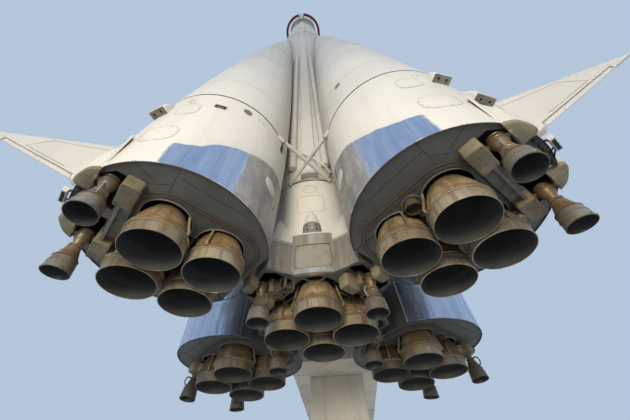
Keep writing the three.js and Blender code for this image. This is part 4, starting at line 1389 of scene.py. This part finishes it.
# half of a pod's outline (distance from the rocket's axis, sideways) at its foot, at the eaves and at the apex
POD_FOOT = [(0.60, 0.509), (0.976, 0.509), (1.143, 0.450), (1.24, 0.425), (1.315, 0.408), (1.365, 0.390),
            (1.392, 0.355), (1.40, 0.30)]
POD_EAVES = [(0.60, 0.512), (0.966, 0.512), (1.135, 0.455), (1.22, 0.436), (1.275, 0.420), (1.318, 0.402),
             (1.34, 0.370), (1.345, 0.315)]
POD_APEX = [(0.60, 0.10), (1.012, 0.12), (1.014, 0.121), (1.016, 0.122), (1.018, 0.123), (1.02, 0.124),
            (1.021, 0.1245), (1.022, 0.125)]
POD_BAY = [(0.88, -0.385), (1.212, -0.385), (1.34, -0.283), (1.34, 0.283), (1.212, 0.385), (0.88, 0.385)]
STRIP_BOTTOM = 1.035  # of the bright strip under the eaves


def pod_outline(half, z, grow=0.0):
    outline = [(x, -y) for x, y in half] + [(x, y) for x, y in half[::-1]]
    return [(x, y, z) for x, y in (grown(outline, grow) if grow else outline)]


def between(a, b, share):
    return [(xa + (xb - xa) * share, ya + (yb - ya) * share) for (xa, ya), (xb, yb) in zip(a, b)]


def pods():
    """The four metal pods over the core's steering nozzles, under cream roofs that run up into the drum."""
    strip_low = between(POD_FOOT, POD_EAVES, (STRIP_BOTTOM - CORE_BASE) / (EAVES - CORE_BASE))
    levels = [(0, CORE_BASE - 0.002), (0.35, 0.69), (0.7, 0.91), (1, EAVES)]
    wall = loft([pod_outline(between(POD_FOOT, POD_EAVES, share), z) for share, z in levels])
    strip = [pod_outline(strip_low, STRIP_BOTTOM, 0.010), pod_outline(POD_EAVES, EAVES - 0.002, 0.010)]
    rim = [pod_outline(POD_FOOT, CORE_BASE + z, 0.012) for z in (-0.004, 0.028)]
    roof = []
    for share in (0.0, 0.25, 0.5, 0.75, 1.0):
        swell = 0.05 * math.sin(math.pi * share)
        half = [(x + swell * 0.6 * (x > 0.9), y + swell * 0.4) for x, y in between(POD_EAVES, POD_APEX, share)]
        roof.append(pod_outline(half, EAVES + 0.001 + (ROOF_TOP - EAVES) * share))

    def pick(centre, normal):
        if normal.z < -0.5 and centre.z < 0.5:
            return 1
        # Faces inside the pod's bay are near-black: painted shade; the underside takes the shade-darkened base grey.
        outside = centre.x > 1.30 or abs(centre.y) > 0.395
        return 0 if outside and abs(normal.z) < 0.5 else 2

    piece = Piece()
    for turn in POD_TURNS:
        piece.frame = spin(turn)
        wells = [moved(well, spin(-turn)) for well in bell_wells()]
        piece.add(carved(wall, prism(POD_BAY, 0.41, 0.90), *wells), pick=pick)
        piece.add(loft(strip), 3)
        piece.add(loft(rim, closed_ends=False), 4)
        piece.add(loft(roof), 5)
        for side in (1, -1):
            piece.add(tube([(x, side * y, CORE_BASE - 0.003) for x, y in POD_FOOT[1:]], 0.008, 6), 4)
            piece.rivets([(1.03, side * 0.492, 0.52 + 0.06 * i) for i in range(9)], (0.33, side * 0.94, 0), 0.006, 6)
    show("pod_shells", piece, [steel, grey, dark, bright_steel, lip_grey, cream, rusty], crease=30)


PANEL_RADIUS = 2.0  # how round the front panels are
PANEL_BACK = -0.99
PLATE_HALF = (0.288, 0.225)  # the inset plate's half width and half height
PLATE_CORNER = 0.06
PLATE_MIDDLE = 0.79


def on_panel(x, z, proud=0.0):
    return (x, 0.938 - PANEL_RADIUS * math.cos(x / PANEL_RADIUS) - proud, z)


def panel_band(low, high, half, proud):
    front = [on_panel(half * (i / 6 - 1), 0, proud)[:2] for i in range(13)]
    return prism(front + [(half, PANEL_BACK), (-half, PANEL_BACK)], low, high)


def panel_wire(half, z, proud):
    return [on_panel(half * (i / 4 - 1), z, proud) for i in range(9)]


def front_panels():
    """The middle of each side: a slightly round panel between two beads, with its inset plate and steel bands."""
    half_width, half_height = PLATE_HALF
    sections = []
    for k in range(25):
        x = half_width * math.cos(math.pi * (1 - k / 24))
        past = max(0.0, abs(x) - (half_width - PLATE_CORNER))
        half = half_height - PLATE_CORNER + math.sqrt(max(0.0, PLATE_CORNER ** 2 - past ** 2)) + 0.001
        front, edge = on_panel(x, 0, 0.010)[1], on_panel(x, 0, 0.002)[1]
        levels = [(edge, -half), (front, 0.007 - half), (front, half - 0.007), (edge, half), (PANEL_BACK, 0)]
        sections.append([(x, y, PLATE_MIDDLE + z) for y, z in levels][::-1])
    plate = rounded(0, half_width, half_height, PLATE_CORNER, 6)
    screws = [on_panel(x, PLATE_MIDDLE + z, 0.009) for x, z in along(grown(plate, -0.025), 0.085, closed=True)]
    edge = [on_panel(x, PLATE_MIDDLE + z, 0.003) for x, z in along(grown(plate, 0.006), 0.03, closed=True)]
    piece = Piece()
    for turn in (0, 90, 180, 270):
        piece.frame = spin(turn)
        for low, high, half, proud, finish in [(CORE_BASE - 0.003, 1.28, 0.335, -0.002, 0),
                                               (CORE_BASE - 0.005, 0.56, 0.315, 0.005, 1),
                                               (1.03, 1.265, 0.325, 0.006, 0)]:
            piece.add(panel_band(low, high, half, proud), finish)
        piece.add(loft(sections), 2)
        piece.rivets(screws, (0, -1, 0), 0.0055, 3)
        piece.add(tube(edge, 0.004, 5, closed=True), 3)
        for x in (-0.333, 0.333):
            bead = [on_panel(x, CORE_BASE, 0.006), on_panel(x, 0.97, 0.004), on_panel(x, 1.27, 0.0)]
            piece.add(tube(bead, [0.017, 0.016, 0.012], 10), 1)
        piece.add(tube(panel_wire(0.3, 1.03, 0.008), 0.005, 6), 4)
        piece.add(tube(panel_wire(0.3, 0.56, 0.006), 0.005, 6), 4)
        piece.add(tube(panel_wire(0.33, CORE_BASE - 0.002, 0.0), 0.009, 6), 4)
    show("front_panels", piece, [steel, bright_steel, inset, rusty, lip_grey], crease=30)


def core_brackets():
    """What holds the core's steering nozzles: carriers, outer housings, a solid box and an open one with rods."""
    carrier = rounded(0, 0.1125, 0.095, 0.02, 3)
    side_box = rounded(0, 0.085, 0.135, 0.018, 3)
    housing = rounded(1.3925, 0.0975, 0.13, 0.06, 5)
    box_levels = [(0.262, -0.010), (0.272, 0.0), (0.60, 0.0)]
    housing_levels = [(0.30, -0.045), (0.312, -0.022), (0.34, -0.006), (0.38, 0.0), (0.62, 0.0)]
    piece = Piece()
    for turn in POD_TURNS:
        piece.frame = spin(turn)
        piece.add(loft([[(x + 0.9825, y, z) for x, y in carrier] for z in (0.37, 0.60)]))
        piece.add(ring(0.038, 0.06, 0, 0.008), 1, shift((1.094, 0, 0.43)) @ spin(90, "Y"))
        piece.add(loft([[(x + 0.955, y - 0.225, z) for x, y in grown(side_box, grow)] for z, grow in box_levels]))
        below = [(0.90, -0.31), (1.01, -0.31), (0.90, -0.13), (1.01, -0.13), (0.955, -0.22)]
        piece.rivets([(x, y, 0.264) for x, y in below], DOWN, 0.010)
        piece.rivets([(0.955, -0.361, z) for z in (0.32, 0.42)], (0, -1, 0), 0.009)
        piece.rivets([(0.87, -0.22, z) for z in (0.32, 0.42)], (-1, 0, 0), 0.009)
        piece.add(loft([[(max(x, 1.297), y, z) for x, y in grown(housing, grow)] for z, grow in housing_levels]))
        near, far = 0.88, 1.03
        for y in (0.10, 0.26, 0.42):
            rods = [((x, y, 0.30), (x, y, 0.60)) for x in (near, far)] + [((near, y, 0.30), (far, y, 0.30))]
            for rod in rods:
                piece.add(tube(rod, 0.012), 1)
        for x in (near, far):
            piece.add(tube([(x, 0.09, 0.30), (x, 0.43, 0.30)], 0.015), 1)
            piece.add(tube([(x, 0.10, 0.31), (x, 0.42, 0.56)], 0.009, 6), 1)
        piece.add(pipe([(0.93, 0.12, 0.52), (0.94, 0.22, 0.40), (0.98, 0.30, 0.38), (1.01, 0.36, 0.50)], 0.016), 1)
    show("core_brackets", piece, [bracket, rusty], bevel=0.004)


def add_weld(piece, radius, z):
    """A raised weld band with a dark line below it."""
    for middle, proud, half, finish in ((z, 0.003, 0.013, 0), (z - 0.016, 0.0015, 0.003, 1)):
        outer = [(radius + proud, middle - half * 0.85), (radius + proud, middle + half * 0.85)]
        band = [(radius - 0.01, middle - half), *outer, (radius - 0.01, middle + half)]
        piece.add(turned(band, 128, closed=True), finish)


def core_tank():
    """The core above its tail: slim, widening to a shoulder, then narrowing to the framework."""
    (bottom, _), (top, top_radius) = CORE[0], CORE[-1]
    profile = [(0, bottom)]
    for (z0, r0), (z1, r1) in zip(CORE, CORE[1:]):
        steps = max(1, int(z1 - z0))
        profile += [(r0 + (r1 - r0) * i / steps, z0 + (z1 - z0) * i / steps) for i in range(steps)]
    piece = Piece().add(turned(profile + [(top_radius, top), (0, top)], 128))
    for z in (4.3, 6.4, 8.5, 10.6, 12.5, 14.3, 16.4, 18.6, 19.7, 20.9, 22.6, 24.4, 26.1):
        add_weld(piece, core_radius(z), z)
    tip_x, tip_z = leant(0, BALL_TOP)
    for azimuth in AZIMUTHS.values():
        piece.frame = spin(azimuth)
        end, shelf_top, strap_top = tip_x + 0.09, tip_z + 0.3, tip_z + 0.75
        piece.add(box((1.15, -0.09, tip_z + 0.001), (end, 0.09, shelf_top)))
        piece.add(side_prism([(1.2, shelf_top), (end, shelf_top), (1.3, strap_top), (1.2, strap_top)], -0.05, 0.05))
    show("core_tank_skin", piece, [cream, seam], replaces=["core_tank"], bevel=0.006)


def raceway():
    """The flat duct up the front of the core, with its joints and foot block."""
    piece = Piece()
    sections = []
    for z in (3.3, 12.5, 18.6, 19.262, 19.7, 20.9, 26.1):
        r = core_radius(z)
        half = [(-0.165, 0.05 - r), (-0.165, -r - 0.075), (-0.15, -r - 0.09)]
        sections.append([(x, y, z) for x, y in half] + [(-x, y, z) for x, y in half[::-1]])
    piece.add(loft(sections))
    for z in (5.4, 7.4, 9.3, 11.3, 13.9, 16.0, 18.2, 21.8, 24.0):
        r = core_radius(z)
        piece.add(box((-0.167, -r - 0.092, z - 0.012), (0.167, -r, z + 0.012)))
        piece.add(box((-0.1655, -r - 0.0905, z - 0.018), (0.1655, -r, z - 0.012)), 1)
    block = [(-0.19, 3.012), (0.19, 3.012), (0.19, 3.22), (0.165, 3.328), (-0.165, 3.328), (-0.19, 3.22)]
    front = -CORE_RADIUS - 0.128
    piece.add(loft([[(x, y, z) for x, z in block] for y in (front, 0.05 - CORE_RADIUS)]))
    piece.rivets([(x, front, z) for x in (-0.16, 0.16) for z in (3.05, 3.18)], (0, -1, 0), 0.009)
    show("raceway_duct", piece, [cream, seam], replaces=["raceway"], bevel=0.006)


def feed_pipes():
    for side, name in ((-1, "left"), (1, "right")):
        ends = []
        for z, angle in ((3.4, 20.5), (14.1, 17)):
            ahead, across = polar(0.092 + core_radius(z), angle)
            ends.append(Vector((side * across, -ahead, z)))
        start, end = ends
        way = (end - start).normalized()
        piece = Piece()
        piece.add(tube([start + way * 0.01, start + way * 0.05, end - way * 0.05], [0.07, 0.1, 0.1], 28))
        piece.add(tube([end - way * 0.06, end - way * 0.02, end], [0.1, 0.098, 0.08], 28), 1)
        for z in (3.85, 5.4, 6.9, 8.6, 10.4, 12.2):
            middle = start.lerp(end, (z - start.z) / (end.z - start.z))
            piece.add(tube([middle - way * 0.02, middle + way * 0.02], 0.103, 28))
            piece.add(dome(middle + Vector((0, -0.103, 0)), (0, -1, 0), 0.011), 1)
        show(f"feed_pipe_skin_{name}", piece, [cream, seam], replaces=[f"feed_pipe_{name}"])


def add_third_rod(piece):
    """The bent rod before the raceway, on two stubs."""
    path = []
    for share in (i / 8 for i in range(9)):
        reach, azimuth = 1.175 + 0.05 * math.sin(math.pi * share), -9.6 + 34.5 * share
        ahead, across = polar(reach, azimuth)
        path.append((across, -ahead, 3.92 - 0.86 * share))
    piece.add(tube(path, 0.027, 12))
    for place in (path[0], path[-1]):
        outward = Vector((place[0], place[1], 0))
        piece.add(dome(place, outward, 0.032), 1)
        piece.add(tube([place, Vector(place) - outward.normalized() * 0.16], 0.018, 8), 1)


def braces():
    """Two crossing rods in each gap between boosters; the front gap has a third one before the raceway."""
    for i, gap in enumerate(("front", "right", "rear", "left")):
        piece = Piece(spin(90 * i))
        for side in (1, -1):
            a, b = Vector((side * 0.519, -2.156, 2.941)), Vector((side * -0.559, -0.829, 2.900))
            way = (b - a).normalized()
            ends = [(0, 0.045), (0.10, 0.045), (0.13, 0.040)]
            path = [a + way * d for d, _ in ends] + [b - way * d for d, _ in ends[::-1]]
            piece.add(tube(path, [r for _, r in ends + ends[::-1]], 20))
            for share in (0.10, 0.90):
                middle = a.lerp(b, share)
                piece.add(tube([middle - way * 0.012, middle + way * 0.012], 0.047, 20), 1)
        if gap == "front":
            add_third_rod(piece)
        show(f"brace_rods_{gap}", piece, [cream, seam], replaces=[f"brace_{gap}"])


# Upper works

UPPER_RADIUS = 1.2
STAGE = (29.001, 31.299)
SHOULDER = 33.3
TOP = 38.36


def interstage():
    piece = Piece()
    low, high = (1.15, 26.201), (UPPER_RADIUS, 28.91)
    for radius, z in (low, high):
        piece.add(ring(radius - 0.09, radius, z, z + 0.09, 96))
        for k in range(48):
            piece.add(dome(polar(radius, 7.5 * k, z + 0.045), polar(1, 7.5 * k, 0), 0.013))
    for k in range(6):
        for slant in (-1, 1):
            start = polar(low[0] - 0.045, 60 * k, low[1] + 0.04)
            end = polar(high[0] - 0.045, 60 * k + 30 * slant, high[1] + 0.05)
            piece.add(tube([start, end], 0.031, 12))
    show("interstage_truss", piece, [strut], replaces=["interstage_frame"], bevel=0.004)


def upper_works():
    radius, (bottom, top), steps = UPPER_RADIUS, STAGE, 28
    stage_skin = Piece().add(turned([(0, bottom), (radius, bottom), (radius, top), (0, top)], 128))
    for z in (29.3, 30.2, 31.1):
        add_weld(stage_skin, radius, z)
    show("upper_stage_skin", stage_skin, [cream, seam], replaces=["upper_stage"])
    profile = [(0, 31.3), (radius, 31.3)]
    for share in (i / steps for i in range(steps)):
        profile.append((radius * (1 - share) ** 0.68 * (1 + 0.28 * share), SHOULDER + (TOP - SHOULDER) * share))
    nose = Piece().add(turned(profile + [(0, TOP)], 128))
    for z in (31.5, SHOULDER):
        add_weld(nose, radius, z)
    for x in (radius + 0.001, -radius - 0.001):
        nose.add(tube([(x, 0, 31.32), (x, 0, SHOULDER)], 0.004, 5), 1)
    show("fairing_skin", nose, [cream, seam], replaces=["payload_fairing"])


def clamp_arms():
    """Two bent dark red tubes that reach round the rocket from the mast."""
    height, radius, tip, steps = 28.86, 1.5, 9, 12
    for name, side in (("left", -1), ("right", 1)):
        path = [(side * 0.65 + SUPPORT_X, MAST_FRONT - 0.001), (side * 1.44, 1.5), (side * radius, 0.3)]
        for i in range(1, steps + 1):
            ahead, across = polar(radius, 90 - i / steps * (90 - tip))
            path.append((side * across, -ahead))
        path = [Vector((x, y, height)) for x, y in path]
        piece = Piece().add(pipe(path, 0.105, 18))
        piece.add(tube([(side * 0.25, -1.47, height), (side * 0.165, -1.24, height)], 0.04, 14))
        piece.add(tube([path[0] - Vector((0, 0.03, 0)), path[0]], 0.14, 24))
        for k in (3, 7, 11):
            piece.add(tube([path[k] - UP * 0.115, path[k] + UP * 0.115], 0.035, 12))
        show(f"clamp_tube_{name}", piece, [clamp], replaces=[f"clamp_arm_{name}"])


# Support

def mast():
    half, depth, holes, hole_radius = 0.8, 1.2, 9, 0.38
    bottom, top = 2.201, 29.8
    pitch = (top - bottom) / holes
    middle, back = MAST_FRONT + depth / 2, MAST_FRONT + depth
    heights = [bottom + pitch * (i + 0.5) for i in range(holes)]
    solid = box((SUPPORT_X - half, MAST_FRONT, bottom), (SUPPORT_X + half, back, top))
    cutters = [moved(drum(hole_radius, -1, 1), shift((SUPPORT_X, middle, z)) @ spin(90, "Y")) for z in heights]
    piece = Piece().add(carved(solid, *cutters))
    for z in (bottom + pitch * i for i in range(1, holes)):
        piece.add(box((SUPPORT_X - half - 0.012, MAST_FRONT - 0.0005, z - 0.05),
                      (SUPPORT_X + half + 0.012, back + 0.012, z + 0.05)))
    for z in heights:
        for side in (1, -1):
            at = shift((SUPPORT_X + side * half, middle, z)) @ spin(side * 90, "Y")
            piece.add(ring(hole_radius, 0.44, 0, 0.012), 0, at)
    show("mast_box", piece, [beige], replaces=["mast"], bevel=0.01)


def beam_and_columns():
    x0, x1, foot, column_top = SUPPORT_X - 1.15, SUPPORT_X + 1.15, -3.4294, 0.8994
    beam = Piece().add(box((x0, MAST_FRONT, 0.9), (x1, 9.0, 2.2)))
    for y in (4.0, 5.6, 7.35, 8.85):
        beam.add(box((x0 - 0.01, y - 0.03, 0.888), (x1 + 0.01, y + 0.03, 2.2)))
    show("beam_box", beam, [beige], replaces=["support_beam"], bevel=0.012)
    for name, front, back in (("front", 4.15, 5.45), ("rear", 7.5, 8.7)):
        column = Piece().add(box((SUPPORT_X - 0.72, front, foot), (SUPPORT_X + 0.72, back, column_top)))
        column.add(box((SUPPORT_X - 0.84, front - 0.12, foot), (SUPPORT_X + 0.84, back + 0.12, -3.38)))
        for x in (-0.78, 0, 0.78):
            for y in (front - 0.06, back + 0.06):
                column.add(drum(0.035, -3.38, -3.34, 6, (SUPPORT_X + x, y)))
        show(f"{name}_column_box", column, [beige], replaces=[f"{name}_column"], bevel=0.02)


def slab_and_cradles():
    ground = Piece().add(box((-2.7, -2.9, -EXIT_PLANE), (2.9, 9.6, 0.3 - EXIT_PLANE)))
    show("slab_block", ground, [slab], replaces=["base_slab"], bevel=0.03)
    for node, half, front, bottom, top in (("lower_cradle", 0.2, 1.033, 1.5, 2.1),
                                           ("upper_cradle", 0.35, 1.47, 21.2, 21.8)):
        back = MAST_FRONT - 0.001
        piece = Piece().add(box((-half, front, bottom), (half, back, top)))
        for share in (0.3, 0.7):
            y = front + (back - front) * share
            piece.add(box((-half - 0.008, y - 0.02, bottom - 0.008), (half + 0.008, y + 0.02, top + 0.008)))
        show(f"{node}_arm", piece, [beige], replaces=[node], bevel=0.012)


# Set

def stage():
    reach = 60
    corners = [(-reach, -reach, 0), (reach, -reach, 0), (reach, reach, 0), (-reach, reach, 0)]
    floor = bare_object("floor", (corners, [[0, 1, 2, 3]]))
    material = bpy.data.materials.new("floor")
    material.use_nodes = True
    shader = material.node_tree.nodes["Principled BSDF"]
    shader.inputs["Base Color"].default_value = (0.62, 0.63, 0.64, 1)
    shader.inputs["Roughness"].default_value = 0.8
    floor.data.materials.append(material)
    floor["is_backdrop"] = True


def light(name, place, aim, size, power, color=(1, 1, 1), shine=True, spread=180):
    """A round soft lamp; shine is whether polished metal mirrors it, spread its cone in degrees."""
    lamp = bpy.data.lights.new(name, "AREA")
    lamp.shape, lamp.size, lamp.energy, lamp.color = "DISK", size, power, color
    lamp.spread = math.radians(spread)
    thing = bpy.data.objects.new(name, lamp)
    thing.location = place
    thing.rotation_euler = (Vector(aim) - Vector(place)).to_track_quat("-Z", "Y").to_euler()
    thing.visible_glossy = shine
    thing.visible_camera = False
    bpy.context.scene.collection.objects.link(thing)


def lights():
    light("key", (-1.5, -22, 15), (0, 0, 6), 9, 1090, (1.0, 0.95, 0.88), False)
    light("left", (-18, -6, 16), (0, 0, 6), 9, 190, (1.0, 0.97, 0.92), False)
    light("bounce", (-0.8, -7, 1.3), (0, 0, 2.2), 2.4, 62, (1.0, 0.92, 0.78), spread=80)
    light("middle", (0.5, -9, 2.2), (0, 0, 5.5), 3, 15, (1.0, 0.93, 0.83), False, 60)
    light("back", (6, 18, 20), (0, 0, 9), 12, 1800)
    world = bpy.data.worlds.new("studio")
    world.use_nodes = True
    background = world.node_tree.nodes["Background"]
    background.inputs["Color"].default_value = (0.62, 0.76, 0.95, 1)
    background.inputs["Strength"].default_value = 0.75
    bpy.context.scene.world = world
    bpy.context.scene.view_settings.view_transform = "Standard"
    bpy.context.scene.cycles.use_denoising = True


CAMERA = dict(place=(0.1231, -2.3562, 0.7486), yaw=-4.8035, pitch=52.8741, roll=-2.0045, focal=286.06,
              centre=(306.95, 188.0))
PHOTO = (630, 420)


def camera():
    """The photograph's own view, solved from the rocket's sizes; angles in degrees, lens in pixels."""
    yaw, pitch, roll = (math.radians(CAMERA[key]) for key in ("yaw", "pitch", "roll"))
    ahead = Vector((math.sin(yaw) * math.cos(pitch), math.cos(yaw) * math.cos(pitch), math.sin(pitch)))
    level = Vector((math.cos(yaw), -math.sin(yaw), 0))
    above = level.cross(ahead)
    right = level * math.cos(roll) + above * math.sin(roll)
    up = above * math.cos(roll) - level * math.sin(roll)
    lens = bpy.data.cameras.new("camera")
    lens.sensor_width = 36
    lens.lens = CAMERA["focal"] * lens.sensor_width / PHOTO[0]
    lens.shift_x = (PHOTO[0] / 2 - CAMERA["centre"][0]) / PHOTO[0]
    lens.shift_y = (CAMERA["centre"][1] - PHOTO[1] / 2) / PHOTO[0]
    lens.clip_start = 0.05
    lens.clip_end = 500
    thing = bpy.data.objects.new("camera", lens)
    turn = Matrix((right, up, -ahead)).transposed().to_4x4()
    thing.matrix_world = Matrix.Translation(CAMERA["place"]) @ turn
    bpy.context.scene.collection.objects.link(thing)
    bpy.context.scene.camera = thing


for build in (camera, tail_drum, base_fittings, hatches, skin_fittings, skin_seams, skin_fairings, tank_skin,
              booster_engines, steering_nozzles, steering_brackets, outer_fairings, rim_mechanism, fins, rudders,
              core_drum, pods, front_panels, core_brackets, core_engines, core_tank, raceway, feed_pipes, braces,
              interstage, upper_works, clamp_arms, mast, beam_and_columns, slab_and_cradles, stage, lights):
    build()

boxes = {name: [list(corner) for corner in corners] for name, corners in (("cad", cad_box), ("visual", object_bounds()))}
